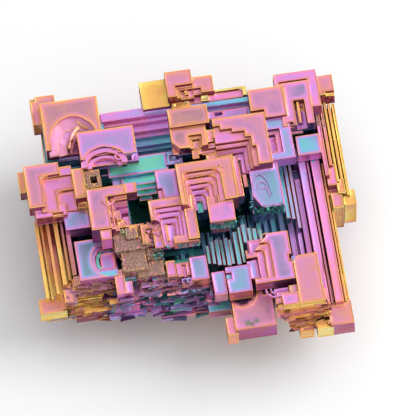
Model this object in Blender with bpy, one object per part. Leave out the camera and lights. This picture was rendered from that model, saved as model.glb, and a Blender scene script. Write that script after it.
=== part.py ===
"""A bismuth hopper crystal: square skeletal crystals grown together in one solid.

The cluster stands on a flat broken-off root and flares upwards in terraces. Crystals with
stepped hollows crowd its top, long ledges run front to back between them, and the front
edge breaks up into thin layers. Lengths are in millimetres until the last step.
"""

import bpy
import bmesh
from dataclasses import dataclass
from mathutils import Matrix, Vector

MM = 0.001
NODE = "hopper_crystal"

FLOOR = 10.0            # height of the lowest ledges between the crystals
NECK_DROP = 4.1         # height of one step in a crystal's underside
NECK_INSET = 0.75       # how far each lower step of a crystal draws in
NECK_LEAN = 2.3         # how far each lower step of an outer crystal moves inwards
NECK_LEAST = 1.0        # least half width of a crystal's lower steps
NECK_SLIVER = 0.02      # inset of the steps under a crystal that is thinner than that
NECK_BURY = 0.3         # how far a step goes up into the one above
NECK_SHORTEST = 0.8     # a last step shorter than this is left out
CUT_CLEARANCE = 1.0     # how far a hollow's cutter stands above the crystal
HALF_LENGTH = 32.0      # half of the cluster's length, for the lean
HALF_DEPTH = 28.0       # half of the cluster's depth, for the lean
RESTS = 99.0            # foot of a crystal that sits on its neighbours, with no underside steps

# Tiers of the flare, each x0, y0, x1, y1, bottom, top
ROOT_TIERS = (
    (-18.6, -11.1, 18.3, 16.6, 0.0, 2.6),
    (-20.9, -12.6, 20.8, 18.4, 2.2, 5.1),
    (-23.4, -14.1, 23.1, 20.1, 4.7, 7.7),
    (-25.8, -15.7, 25.2, 21.7, 7.3, FLOOR),
)
RING_TIERS = (
    (0.7, -18.6, 25.9, -14.2, 8.9, 11.4),
    (0.3, -21.3, 26.4, -15.1, 11.1, 13.7),
    (1.1, -19.1, 26.7, -16.3, 13.3, 15.1),
    (13.6, -23.4, 26.8, -18.2, 13.2, 15.2),
    (-24.9, -17.2, 1.5, -11.7, 8.7, 12.3),
    (-27.4, -13.4, -20.6, 11.9, 9.1, 11.6),
    (-29.8, -13.8, -23.7, 7.2, 11.2, 13.1),
    (-26.2, 10.7, -14.6, 20.9, 9.3, 16.3),
    (-15.3, 17.3, 20.3, 21.4, 9.2, 13.6),
    (19.1, 9.6, 27.9, 19.9, 9.4, 13.1),
    (25.9, -1.2, 30.4, 17.2, 12.7, 15.2),
    (18.4, -19.7, 27.2, 11.4, 9.6, 13.1),
)


@dataclass(frozen=True)
class Crystal:
    """A square crystal: its plan, its top, the depth of its rim and its stepped hollow."""

    plan: tuple             # x0, y0, x1, y1
    top: float
    rim: float
    hollow: tuple = ()      # x0, y0, x1, y1 and floor height of each step, outermost first
    foot: float = FLOOR - 0.7   # how far down its underside steps go


# The crystals, from the back row to the front edge
BACK_ROW = (
    Crystal((-27.5, 20.2, -22.7, 26.1), 21.0, 4.6, ((-28.0, 25.2, -26.6, 27.0, 20.2),)),
    Crystal((-6.1, 20.3, -0.8, 26.2), 20.5, 4.2),
    Crystal((-1.1, 20.9, 4.1, 26.4), 23.0, 3.1,
            ((0.7, 20.0, 5.0, 23.3, 22.1), (1.5, 20.0, 5.0, 22.6, 21.2))),
    Crystal((2.3, 21.6, 8.1, 25.2), 21.7, 3.0, ((3.0, 21.0, 5.6, 22.7, 21.0),), RESTS),
    Crystal((1.9, 20.4, 14.3, 22.4), 20.4, 3.4,
            ((2.7, 20.0, 5.4, 21.8, 19.8), (6.8, 20.0, 13.6, 21.9, 19.8)), RESTS),
    Crystal((19.7, 14.8, 28.0, 22.8), 22.4, 3.4,
            ((20.5, 14.0, 26.1, 21.0, 21.6),)),
    Crystal((28.0, 17.9, 31.1, 22.1), 20.5, 4.1, ((29.3, 17.0, 32.0, 18.6, 19.7),)),
)
ARCH_CRYSTAL = Crystal(
    (-25.9, 13.1, -14.8, 23.4), 23.4, 4.4,
    ((-24.9, 12.0, -16.2, 17.9, 22.5), (-24.4, 12.0, -16.9, 19.2, 22.5),
     (-23.1, 12.0, -18.1, 20.0, 22.5), (-24.2, 12.0, -17.3, 17.2, 21.8),
     (-23.4, 12.0, -18.3, 18.6, 21.8), (-23.3, 12.0, -18.6, 16.7, 21.0),
     (-22.4, 12.0, -19.5, 15.3, 20.2)),
)
LILAC_CRYSTAL = Crystal(
    (-19.8, 9.7, -8.8, 15.6), 24.1, 3.4,
    ((-18.9, 8.5, -12.4, 11.2, 23.3), (-18.1, 8.5, -13.5, 12.1, 23.3),
     (-18.3, 8.5, -13.0, 10.6, 22.4), (-12.9, 8.5, -8.0, 10.2, 23.3)),
)
LILAC_SILL = Crystal(
    (-18.3, 9.1, -11.0, 11.6), 20.7, 2.7, ((-17.6, 8.5, -11.9, 9.9, 20.1),), RESTS
)
WEST_CORNER = (
    Crystal((-30.9, 2.1, -27.9, 11.1), 22.1, 3.6),
    Crystal((-30.9, 8.5, -24.1, 11.1), 22.1, 3.6, (), RESTS),
    Crystal((-32.1, 6.1, -30.4, 10.6), 20.9, 3.1, (), RESTS),
    Crystal((-28.5, 1.2, -21.7, 10.3), 21.3, 3.4,
            ((-27.6, 0.5, -21.0, 8.4, 20.8), (-25.2, 0.5, -21.0, 5.4, 20.1))),
    Crystal((-29.9, 0.3, -23.8, 2.7), 20.7, 2.9, ((-26.6, 0.0, -24.6, 1.0, 20.1),), RESTS),
    Crystal((-24.6, -2.6, -19.7, 1.9), 19.8, 3.4),
)
WEST_CENTRE = (
    Crystal((-21.9, 2.2, -19.6, 8.6), 23.1, 4.8),
    Crystal((-20.2, 4.4, -16.5, 8.1), 22.3, 4.4, ((-18.5, 5.3, -17.1, 6.9, 18.9),), RESTS),
    Crystal((-21.6, 1.0, -19.5, 3.0), 21.2, 3.2, (), RESTS),
    Crystal((-19.8, -5.7, -12.2, 3.2), 24.5, 6.1,
            ((-16.0, -6.5, -11.0, 1.1, 23.7), (-15.2, -6.5, -11.0, 0.3, 22.8),
             (-14.5, -6.5, -11.0, -0.7, 21.6), (-13.6, -6.5, -11.0, -1.6, 20.2))),
    Crystal((-12.7, 1.2, -10.1, 3.4), 24.3, 3.4, (), RESTS),
    Crystal((-18.3, -7.7, -16.2, -5.1), 23.9, 4.1, (), RESTS),
    Crystal((-16.2, -3.6, -13.9, -1.6), 22.9, 2.6, (), RESTS),
    Crystal((-15.6, -4.9, -13.2, -3.2), 22.3, 2.9, (), RESTS),
)
TEAL_CRYSTAL = (
    Crystal((-14.8, 7.0, -3.0, 10.8), 20.0, 2.3, ((-13.9, 7.9, -3.9, 10.0, 19.6),)),
    Crystal((-3.4, 7.7, -0.2, 10.5), 20.6, 3.0, ((-2.6, 8.4, -0.9, 9.8, 20.1),)),
    Crystal((-14.2, 5.9, -5.8, 8.9), 18.6, 1.4, (), 17.2),
    Crystal((-10.6, 5.4, -5.6, 9.0), 17.1, 1.6, (), 15.5),
    Crystal((-9.9, 4.9, -5.2, 9.1), 15.4, 1.5, (), 13.9),
    Crystal((-9.4, 4.5, -5.0, 9.2), 13.7, 4.0, (), 9.7),
)
SALMON_CRYSTAL = (
    Crystal((-1.8, 13.3, 5.9, 17.3), 25.2, 3.1),
    Crystal((-1.9, 9.0, 5.0, 13.7), 24.4, 3.0,
            ((1.4, 8.0, 3.9, 11.5, 23.6), (2.0, 8.0, 3.5, 10.9, 22.9))),
    Crystal((1.7, 7.3, 3.0, 10.3), 22.6, 2.7, (), 19.9),
)
SPIRAL_CRYSTAL = Crystal(
    (-2.1, -3.7, 8.9, 5.2), 25.7, 5.1,
    ((-1.0, -4.5, 6.3, 3.1, 25.0), (-0.6, -4.5, 5.3, 2.2, 24.3),
     (-0.2, -4.5, 4.5, 1.2, 23.6), (0.2, -4.5, 3.6, 0.3, 22.9),
     (0.6, -4.5, 2.8, -0.6, 22.2), (1.0, -4.5, 2.1, -1.6, 21.3)),
)
SPIRAL_STEP = Crystal((2.8, -7.8, 7.8, -2.1), 24.8, 3.2, ((3.4, -3.9, 4.9, -1.5, 24.2),))
SOUTH_ARCH = Crystal(
    (-8.3, -10.2, 0.4, -0.9), 24.0, 3.1,
    ((-7.4, -11.0, -1.7, -2.7, 23.4), (-6.9, -11.0, -2.4, -3.5, 22.8),
     (-6.4, -11.0, -3.1, -4.4, 22.2), (-5.8, -11.0, -3.9, -5.5, 21.6),
     (-9.0, -11.0, -6.6, -5.1, 22.0)),
)
CENTRE = (
    Crystal((-6.0, -0.3, -2.0, 5.8), 22.6, 3.2, ((-6.5, -1.0, -5.1, 2.0, 22.0),)),
    Crystal((-10.5, -9.0, -5.3, -4.8), 22.0, 2.8,
            ((-9.7, -9.6, -6.1, -5.7, 21.4), (-9.0, -9.6, -6.8, -6.6, 20.8))),
    Crystal((-4.6, -10.4, 0.2, -8.9), 23.4, 2.5, (), RESTS),
    Crystal((9.2, -1.6, 10.3, 7.1), 21.6, 3.4),
    Crystal((10.6, 0.4, 11.4, 6.4), 21.1, 3.1),
    Crystal((11.5, 2.9, 12.7, 7.7), 21.9, 2.8),
    Crystal((11.9, -4.9, 17.7, 4.6), 22.1, 3.3),
)
GAMMA_CRYSTAL = Crystal(
    (6.4, 3.2, 16.7, 14.1), 24.6, 4.7,
    ((5.5, 2.5, 7.7, 12.6, 23.8), (5.5, 2.5, 9.9, 11.6, 23.8),
     (5.5, 2.5, 12.3, 10.8, 23.8), (5.5, 2.5, 13.3, 9.5, 23.8),
     (5.5, 2.5, 14.0, 7.3, 23.8), (5.5, 2.5, 12.9, 9.1, 23.0),
     (5.5, 2.5, 12.3, 8.3, 22.2), (5.5, 2.5, 11.6, 7.4, 21.4),
     (5.5, 2.5, 10.8, 6.2, 20.5)),
)
GAMMA_SILLS = (
    Crystal((4.6, 9.9, 9.1, 12.5), 23.6, 2.3, ((6.1, 9.0, 8.6, 10.6, 23.0),), RESTS),
    Crystal((2.9, 8.0, 9.3, 10.4), 22.7, 2.4, ((3.7, 7.5, 9.9, 8.9, 22.1),), RESTS),
    Crystal((4.3, 6.6, 9.4, 8.5), 21.9, 2.2, (), RESTS),
)
NORTH_EAST = (
    Crystal((6.2, 16.9, 15.2, 18.8), 18.6, 2.3, ((7.6, 17.6, 9.1, 18.3, 15.9),), RESTS),
    Crystal((14.2, 13.1, 21.1, 19.5), 24.0, 3.6,
            ((13.5, 12.5, 16.8, 15.0, 23.2), (13.5, 12.5, 15.9, 13.9, 22.2))),
    Crystal((16.2, 4.3, 21.3, 13.3), 23.1, 3.2,
            ((15.5, 5.8, 19.1, 10.9, 22.3), (15.5, 6.5, 18.1, 10.1, 21.4))),
    Crystal((20.0, 10.9, 26.1, 20.2), 23.4, 3.0,
            ((22.6, 10.0, 24.7, 16.2, 21.3), (20.9, 10.0, 22.0, 11.7, 22.4))),
    Crystal((23.2, 11.6, 23.7, 16.5), 22.7, 2.2, (), RESTS),
    Crystal((22.0, 5.9, 26.6, 10.1), 20.1, 2.7, ((23.0, 6.8, 25.7, 9.3, 19.7),)),
)
EAST_EDGE = (
    Crystal((26.9, 0.1, 28.8, 4.6), 17.1, 3.9),
    Crystal((27.2, -4.4, 29.3, -1.2), 16.2, 10.1, (), 6.1),
    Crystal((29.4, -3.7, 31.9, -0.5), 15.2, 8.0, (), 7.2),
    Crystal((28.6, -1.6, 30.1, 1.4), 16.6, 4.4),
)
FRONT_ARCH = Crystal(
    (9.7, -19.8, 17.4, -9.5), 20.1, 3.3,
    ((8.5, -18.8, 13.6, -11.4, 19.4), (8.5, -18.8, 12.3, -12.5, 18.7),
     (8.5, -18.1, 10.9, -13.6, 18.0)),
)
FRONT_EDGE = (
    Crystal((8.7, -18.0, 10.5, -14.1), 18.6, 2.4, (), RESTS),
    Crystal((8.8, -13.6, 10.9, -11.9), 18.9, 2.2, (), RESTS),
    Crystal((1.7, -20.3, 4.2, -15.4), 18.6, 3.1),
    Crystal((4.4, -20.6, 9.0, -15.0), 19.2, 3.4, ((4.0, -17.6, 5.5, -16.2, 18.5),)),
    Crystal((3.1, -27.6, 5.1, -23.8), 15.4, 4.2, (), RESTS),
    Crystal((17.5, -25.3, 22.3, -15.0), 20.1, 2.6),
    Crystal((14.2, -25.2, 22.7, -22.6), 20.0, 2.1, (), RESTS),
    Crystal((13.0, -24.1, 17.9, -20.6), 18.9, 2.0, ((12.5, -22.9, 15.9, -20.0, 18.2),), RESTS),
    Crystal((22.8, -28.8, 27.4, -23.9), 15.6, 4.4),
    Crystal((20.2, -28.9, 23.4, -27.3), 15.1, 3.8, (), RESTS),
    Crystal((16.9, -28.6, 19.7, -26.1), 13.9, 2.7, (), RESTS),
    Crystal((-6.7, -15.2, -4.9, -11.8), 19.1, 3.9),
    Crystal((-4.8, -15.3, -2.2, -12.4), 18.7, 3.1, ((-3.6, -16.0, -2.9, -12.9, 18.2),)),
    Crystal((-2.1, -16.7, 1.2, -11.8), 19.2, 3.2),
    Crystal((-4.1, -16.6, 0.9, -15.6), 18.3, 2.1, (), RESTS),
    Crystal((-16.8, -17.2, -14.9, -12.1), 19.0, 3.2),
    Crystal((-16.6, -17.2, -13.6, -14.8), 18.8, 2.9, (), RESTS),
    Crystal((-31.7, -16.4, -26.5, -13.2), 13.1, 3.0, (), 7.6),
    Crystal((-30.4, -15.7, -24.9, -12.4), 10.9, 3.2, (), 7.1),
    Crystal((-26.8, -15.9, -25.2, -12.3), 15.9, 3.1, (), RESTS),
)
WEST_ARCH = Crystal(
    (-23.4, -13.4, -15.9, -4.9), 19.1, 3.4,
    ((-20.9, -11.9, -15.0, -6.7, 18.5), (-19.9, -11.2, -15.0, -7.5, 17.8),
     (-19.1, -10.6, -16.8, -8.3, 17.1)),
)
ROUGH_LUMP = (
    Crystal((-15.9, -9.2, -9.6, -3.9), 20.9, 3.2),
    Crystal((-14.9, -13.2, -10.2, -7.3), 20.1, 3.7),
    Crystal((-12.3, -14.3, -7.1, -10.1), 18.9, 3.4),
    Crystal((-13.4, -7.1, -11.2, -4.6), 21.7, 2.4, (), RESTS),
    Crystal((-9.9, -11.3, -6.9, -8.4), 19.9, 2.9, (), RESTS),
)

# Ledges that run front to back: x0, x1, front, back, top
EAST_LEDGES = (
    (18.1, 19.1, -23.2, 5.4, 14.6),
    (19.6, 20.4, -23.0, 4.2, 15.1),
    (20.7, 21.7, -22.9, 3.1, 15.7),
    (22.0, 23.3, -24.6, 6.9, 17.1),
    (23.6, 24.0, -24.4, 7.1, 16.4),
    (24.3, 26.0, -24.7, 6.8, 17.2),
    (26.3, 26.7, -24.3, 5.6, 16.1),
    (26.9, 27.3, -24.9, 0.8, 14.9),
)
EAST_FINS = (
    (26.7, 27.5, 1.6, 18.3, 18.7),
    (27.8, 28.4, 3.9, 18.5, 18.0),
    (28.7, 29.2, 0.6, 18.4, 17.2),
    (29.5, 30.0, -1.7, 18.2, 16.5),
    (30.3, 30.9, -1.9, 18.1, 15.8),
)
WEST_FINS = (
    (-30.2, -29.6, -14.2, 2.2, 15.4),
    (-29.3, -28.8, -14.1, 2.3, 14.6),
    (-28.1, -27.5, -13.9, 2.1, 16.2),
    (-26.7, -25.9, -12.7, 2.4, 17.1),
    (-25.4, -24.9, -11.6, 2.0, 16.5),
    (-24.6, -23.8, -11.2, 1.7, 17.6),
)
PIT_LEDGES = (
    (-3.2, -2.4, -11.9, -5.2, 12.6),
    (-1.5, -0.7, -11.9, -5.1, 12.1),
    (1.2, 2.0, -13.7, -3.4, 11.6),
    (2.4, 3.5, -13.9, -3.6, 12.2),
    (4.0, 5.0, -13.6, -3.5, 11.4),
    (5.4, 6.2, -13.4, -3.3, 10.8),
    (6.9, 8.8, -11.7, -2.1, 13.1),
    (9.0, 10.2, -8.2, -1.8, 13.8),
    (10.7, 11.6, -9.1, -1.2, 12.4),
    (12.1, 13.0, -8.9, -1.0, 13.2),
    (13.6, 14.4, -8.8, -1.6, 11.9),
    (15.0, 15.9, -8.7, -1.4, 12.6),
    (16.6, 17.5, -8.6, -1.3, 13.4),
)
EAST_WEST_FLOOR = 11.2  # how far down the outer ledges go
PIT_FLOOR = 9.1         # how far down the ledges between the crystals go
BACK_FLOOR = 9.4        # how far down the ledges below the back row go
# Ledges that run from side to side below the back row: front, back, top
BACK_LEDGES = (
    (19.3, 21.2, 19.6),
    (18.7, 20.6, 18.3),
    (17.5, 20.0, 16.9),
    (16.9, 19.6, 15.4),
    (15.7, 19.2, 14.1),
    (15.1, 18.8, 13.0),
    (14.6, 18.4, 11.9),
)
BACK_LEDGE_ENDS = (-14.4, 14.6)
BACK_LEDGE_STAGGER = 0.45

# Thin layers of the broken front: x0, x1, front, top of each
LAYER = 1.25            # depth of one layer, which is more than their spacing
WEST_LAYERS = (
    (-24.6, -16.4, -13.2, 17.4),
    (-24.9, -17.1, -13.9, 16.3),
    (-25.7, -17.4, -14.3, 15.2),
    (-25.3, -17.9, -15.1, 14.1),
    (-25.9, -18.2, -15.6, 13.0),
    (-25.1, -18.4, -16.4, 11.9),
    (-24.7, -18.9, -16.9, 10.9),
)
MIDDLE_LAYERS = (
    (-9.6, -2.0, -14.8, 17.6),
    (-11.9, 1.4, -15.5, 16.5),
    (-12.3, 1.1, -16.1, 15.4),
    (-18.3, 1.6, -16.9, 14.3),
    (-17.6, -9.8, -17.8, 13.3),
    (-10.3, 1.7, -17.7, 13.2),
    (-18.6, -12.1, -18.6, 12.1),
    (-10.6, 1.9, -18.9, 12.0),
    (-8.7, 2.4, -19.7, 10.9),
)
EAST_LAYERS = (
    (13.3, 22.6, -25.4, 18.5),
    (12.9, 22.9, -25.9, 17.4),
    (14.5, 22.7, -26.4, 16.3),
    (15.0, 20.1, -27.0, 15.1),
    (15.3, 22.4, -27.4, 14.0),
)
LAYER_BACK = {"west": -11.4, "middle": -11.2, "east": -21.6}
LAYER_FOOT = {"west": 9.1, "middle": 9.2, "east": 12.6}
CORE_SIDE = 1.3         # the core behind the layers stops this far short of their ends
CORE_FRONT = 0.7        # and this far behind the rearmost front edge
CORE_TOP = 0.4          # and this far below the top one
CORE_BACK = 0.2         # and reaches this far short of their back

# The front crystal with the round dent, and the cut corners
DENTED_CRYSTAL = Crystal(
    (4.7, -27.1, 12.6, -19.2), 16.1, 4.6, ((11.0, -20.4, 12.3, -18.5, 15.1),)
)
DENT_CENTRE = (7.0, -19.6)
DENT_STEPS = ((2.8, 15.3), (2.1, 14.5), (1.4, 13.7))    # radius and floor height
DENT_SIDES = 14
DENT_CUTTER = 4.0       # height of the dent's cutters
# Stepped hollows in the sides of the root: side, start, end, bottom, top, outermost floor
SIDE_HOLLOWS = (
    ("front", -15.1, -6.3, 1.1, 6.9, -10.3),
    ("front", 2.4, 12.9, 1.4, 7.1, -10.2),
    ("back", -13.6, -1.9, 1.2, 7.2, 15.7),
    ("back", 4.3, 14.7, 1.5, 6.8, 15.6),
    ("left", -8.4, 1.3, 1.3, 7.0, -17.6),
    ("left", 5.2, 13.1, 1.6, 6.6, -17.4),
    ("right", -7.7, 3.8, 1.2, 7.3, 17.3),
    ("right", 6.9, 14.2, 1.5, 6.9, 17.2),
)
SIDE_STEPS = 3
SIDE_INSET = 0.85       # how far each deeper step draws in
SIDE_DEPTH = 1.2        # how much deeper it is
SIDE_REACH = 40.0       # the cutters reach out past everything
CORNER_CUTS = (
    ((10.2, -9.0), (9.2, -9.0), (9.2, -13.1), (9.9, -13.1), (13.1, -10.1), (13.1, -9.0)),
    ((16.8, -14.5), (18.5, -14.5), (18.5, -15.0), (17.5, -16.1), (16.8, -16.1)),
    ((-9.8, 8.9), (-8.3, 8.9), (-8.3, 11.7), (-8.8, 11.7), (-9.8, 10.6)),
    ((11.2, -5.4), (13.4, -5.4), (13.4, -4.9), (11.9, -2.1), (11.2, -2.1)),
    ((-2.6, 8.3), (-0.6, 8.3), (-0.6, 9.0), (-1.9, 10.6), (-2.6, 10.6)),
    ((-23.0, -5.4), (-15.5, -5.4), (-15.5, -4.5), (-20.0, -4.5), (-23.0, -4.4)),
)
CORNER_CUT_SPANS = (
    (17.6, 21.0), (17.9, 21.0), (21.0, 25.0), (18.5, 23.0), (21.9, 25.0), (18.3, 20.0),
)


def clear_scene():
    for item in list(bpy.data.objects):
        bpy.data.objects.remove(item, do_unlink=True)


def add_block(bm, low, high):
    """A rectangular block between two corners."""
    size = Vector(high) - Vector(low)
    middle = (Vector(high) + Vector(low)) / 2
    place = Matrix.Translation(middle) @ Matrix.Diagonal((*size, 1.0))
    bmesh.ops.create_cube(bm, size=1.0, matrix=place)


def add_prism(bm, outline, bottom, top):
    """A straight prism on a plan outline."""
    ring = [bm.verts.new((x, y, bottom)) for x, y in outline]
    base = bm.faces.new(ring)
    raised = bmesh.ops.extrude_face_region(bm, geom=[base])
    moved = [item for item in raised["geom"] if isinstance(item, bmesh.types.BMVert)]
    bmesh.ops.translate(bm, verts=moved, vec=(0.0, 0.0, top - bottom))
    bmesh.ops.recalc_face_normals(bm, faces=bm.faces)


def object_from(name, bm):
    mesh = bpy.data.meshes.new(name)
    bmesh.ops.recalc_face_normals(bm, faces=bm.faces)
    bm.to_mesh(mesh)
    bm.free()
    made = bpy.data.objects.new(name, mesh)
    bpy.context.scene.collection.objects.link(made)
    return made


def apply_boolean(target, other, operation):
    """Joins or cuts with the exact solver, keeps the result and removes the other object."""
    modifier = target.modifiers.new(operation.lower(), "BOOLEAN")
    modifier.operation = operation
    modifier.solver = "EXACT"
    modifier.use_self = True
    modifier.object = other
    graph = bpy.context.evaluated_depsgraph_get()
    result = bpy.data.meshes.new_from_object(target.evaluated_get(graph))
    target.modifiers.clear()
    target.data = result
    bpy.data.objects.remove(other, do_unlink=True)


def neck_steps(crystal):
    """Blocks under a crystal's rim, each drawn in and moved towards the middle."""
    x0, y0, x1, y1 = crystal.plan
    lean_x = NECK_LEAN * (x0 + x1) / 2 / HALF_LENGTH
    lean_y = NECK_LEAN * (y0 + y1) / 2 / HALF_DEPTH
    top = crystal.top - crystal.rim
    step = 0
    while top > crystal.foot + NECK_SHORTEST:
        step += 1
        bottom = max(top - NECK_DROP, crystal.foot)
        inset_x = min(NECK_INSET * step, max((x1 - x0) / 2 - NECK_LEAST, NECK_SLIVER * step))
        inset_y = min(NECK_INSET * step, max((y1 - y0) / 2 - NECK_LEAST, NECK_SLIVER * step))
        low = (x0 + inset_x - lean_x * step, y0 + inset_y - lean_y * step, bottom)
        high = (x1 - inset_x - lean_x * step, y1 - inset_y - lean_y * step, top + NECK_BURY)
        yield low, high
        top = bottom


def build_crystal(name, crystal):
    """One crystal with its hollow cut, as an object."""
    bm = bmesh.new()
    x0, y0, x1, y1 = crystal.plan
    add_block(bm, (x0, y0, crystal.top - crystal.rim), (x1, y1, crystal.top))
    body = object_from(name, bm)
    if crystal.hollow:
        cuts = bmesh.new()
        for a0, b0, a1, b1, level in crystal.hollow:
            add_block(cuts, (a0, b0, level), (a1, b1, crystal.top + CUT_CLEARANCE))
        apply_boolean(body, object_from("hollow", cuts), "DIFFERENCE")
    return body


def add_necks(bm, crystals):
    for crystal in crystals:
        for low, high in neck_steps(crystal):
            add_block(bm, low, high)


def add_tiers(bm):
    for x0, y0, x1, y1, bottom, top in ROOT_TIERS + RING_TIERS:
        add_block(bm, (x0, y0, bottom), (x1, y1, top))


def add_ledges(bm):
    for x0, x1, front, back, top in EAST_LEDGES + EAST_FINS + WEST_FINS:
        add_block(bm, (x0, front, EAST_WEST_FLOOR), (x1, back, top))
    for x0, x1, front, back, top in PIT_LEDGES:
        add_block(bm, (x0, front, PIT_FLOOR), (x1, back, top))


def add_back_ledges(bm):
    x0, x1 = BACK_LEDGE_ENDS
    for step, (front, back, top) in enumerate(BACK_LEDGES):
        shift = BACK_LEDGE_STAGGER * step
        add_block(bm, (x0 + shift, front, BACK_FLOOR), (x1 - shift, back, top))


def add_layers(bm):
    fields = (("west", WEST_LAYERS), ("middle", MIDDLE_LAYERS), ("east", EAST_LAYERS))
    for side, layers in fields:
        back = LAYER_BACK[side]
        for x0, x1, front, top in layers:
            add_block(bm, (x0, front, top - LAYER), (x1, back, top))
        x0 = min(row[0] for row in layers) + CORE_SIDE
        x1 = max(row[1] for row in layers) - CORE_SIDE
        front = max(row[2] for row in layers) + CORE_FRONT
        top = max(row[3] for row in layers) - CORE_TOP
        add_block(bm, (x0, front, LAYER_FOOT[side]), (x1, back - CORE_BACK, top))


def add_side_hollows(bm):
    """Cutters for nested rectangular hollows in the four sides of the root."""
    for side, start, end, bottom, top, floor in SIDE_HOLLOWS:
        outward = 1.0 if floor > 0 else -1.0
        for step in range(SIDE_STEPS):
            inset = SIDE_INSET * step
            deep = floor - outward * SIDE_DEPTH * step
            near, far = sorted((deep, outward * SIDE_REACH))
            if side in ("front", "back"):
                low, high = (start + inset, near), (end - inset, far)
            else:
                low, high = (near, start + inset), (far, end - inset)
            add_block(bm, (*low, bottom + inset), (*high, top - inset))


def dented_crystal():
    """The front crystal, with a round stepped dent in the back of its top."""
    body = build_crystal("dented_crystal", DENTED_CRYSTAL)
    bm = bmesh.new()
    x, y = DENT_CENTRE
    for radius, level in DENT_STEPS:
        place = Matrix.Translation((x, y, level + DENT_CUTTER / 2))
        bmesh.ops.create_cone(
            bm, cap_ends=True, segments=DENT_SIDES, radius1=radius, radius2=radius,
            depth=DENT_CUTTER, matrix=place,
        )
    apply_boolean(body, object_from("dent", bm), "DIFFERENCE")
    return body


def all_crystals():
    rows = BACK_ROW + (ARCH_CRYSTAL, LILAC_CRYSTAL, LILAC_SILL) + WEST_CORNER
    rows += WEST_CENTRE + TEAL_CRYSTAL + SALMON_CRYSTAL
    rows += (SPIRAL_CRYSTAL, SPIRAL_STEP, SOUTH_ARCH) + CENTRE
    rows += (GAMMA_CRYSTAL,) + GAMMA_SILLS + NORTH_EAST + EAST_EDGE
    rows += (FRONT_ARCH,) + FRONT_EDGE + (WEST_ARCH,) + ROUGH_LUMP
    return rows


def join_meshes(bm, objects):
    """Puts the objects' meshes in one, as shells that overlap, and removes the objects."""
    for item in objects:
        bm.from_mesh(item.data)
        bpy.data.objects.remove(item, do_unlink=True)


def drop_inner_shells(bm):
    """Fills the closed spaces inside the solid by removing their walls."""
    left = set(bm.faces)
    while left:
        shell = {left.pop()}
        front = list(shell)
        while front:
            for edge in front.pop().edges:
                for face in edge.link_faces:
                    if face in left:
                        left.remove(face)
                        shell.add(face)
                        front.append(face)
        volume = sum(face.calc_center_median().dot(face.normal) * face.calc_area()
                     for face in shell) / 3
        if volume < 0.0:
            bmesh.ops.delete(bm, geom=list(shell), context="FACES")


def bismuth():
    """Oxide-tinted bismuth metal."""
    material = bpy.data.materials.new("bismuth")
    material.use_nodes = True
    shader = material.node_tree.nodes["Principled BSDF"]
    shader.inputs["Base Color"].default_value = (0.62, 0.30, 0.50, 1.0)
    shader.inputs["Roughness"].default_value = 0.32
    shader.inputs["Metallic"].default_value = 1.0
    return material


def finish_solid(solid):
    """Cleans the joined mesh, puts the origin under its middle and makes it life size."""
    bm = bmesh.new()
    bm.from_mesh(solid.data)
    drop_inner_shells(bm)
    bmesh.ops.remove_doubles(bm, verts=bm.verts, dist=0.002)
    bmesh.ops.dissolve_limit(
        bm, angle_limit=0.001, verts=bm.verts, edges=bm.edges, use_dissolve_boundaries=False
    )
    bmesh.ops.triangulate(bm, faces=bm.faces)
    xs = [vert.co.x for vert in bm.verts]
    ys = [vert.co.y for vert in bm.verts]
    middle = Vector(((max(xs) + min(xs)) / 2, (max(ys) + min(ys)) / 2, 0.0))
    bmesh.ops.translate(bm, verts=bm.verts, vec=-middle)
    bmesh.ops.scale(bm, verts=bm.verts, vec=(MM, MM, MM))
    mesh = bpy.data.meshes.new(NODE)
    bm.to_mesh(mesh)
    bm.free()
    solid.data = mesh
    solid.name = NODE
    mesh.materials.append(bismuth())


def main():
    clear_scene()
    crystals = all_crystals()
    rims = [build_crystal(f"crystal_{index}", item) for index, item in enumerate(crystals)]
    rims.append(dented_crystal())
    grown = bmesh.new()
    add_tiers(grown)
    add_ledges(grown)
    add_back_ledges(grown)
    add_layers(grown)
    add_necks(grown, crystals + (DENTED_CRYSTAL,))
    join_meshes(grown, rims)
    solid = object_from("cluster", grown)
    cuts = bmesh.new()
    for outline, (bottom, top) in zip(CORNER_CUTS, CORNER_CUT_SPANS):
        add_prism(cuts, outline, bottom, top)
    add_side_hollows(cuts)
    apply_boolean(solid, object_from("cuts", cuts), "DIFFERENCE")
    finish_solid(solid)


main()
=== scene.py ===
"""Dresses the bismuth hopper crystal: oxide-tinted growth faces, fine ledges, and the studio.

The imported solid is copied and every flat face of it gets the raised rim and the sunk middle
that a hopper crystal grows with. Smaller growths are modelled beside it. Lengths are in
millimetres until a piece is finished, and in metres from then on.
"""

import logging
import math
import random
from dataclasses import dataclass, field
from enum import Enum

import bmesh
import bpy
import numpy as np
from mathutils import Matrix, Vector
from mathutils.bvhtree import BVHTree
from mathutils.geometry import tessellate_polygon
from mathutils.kdtree import KDTree


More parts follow.
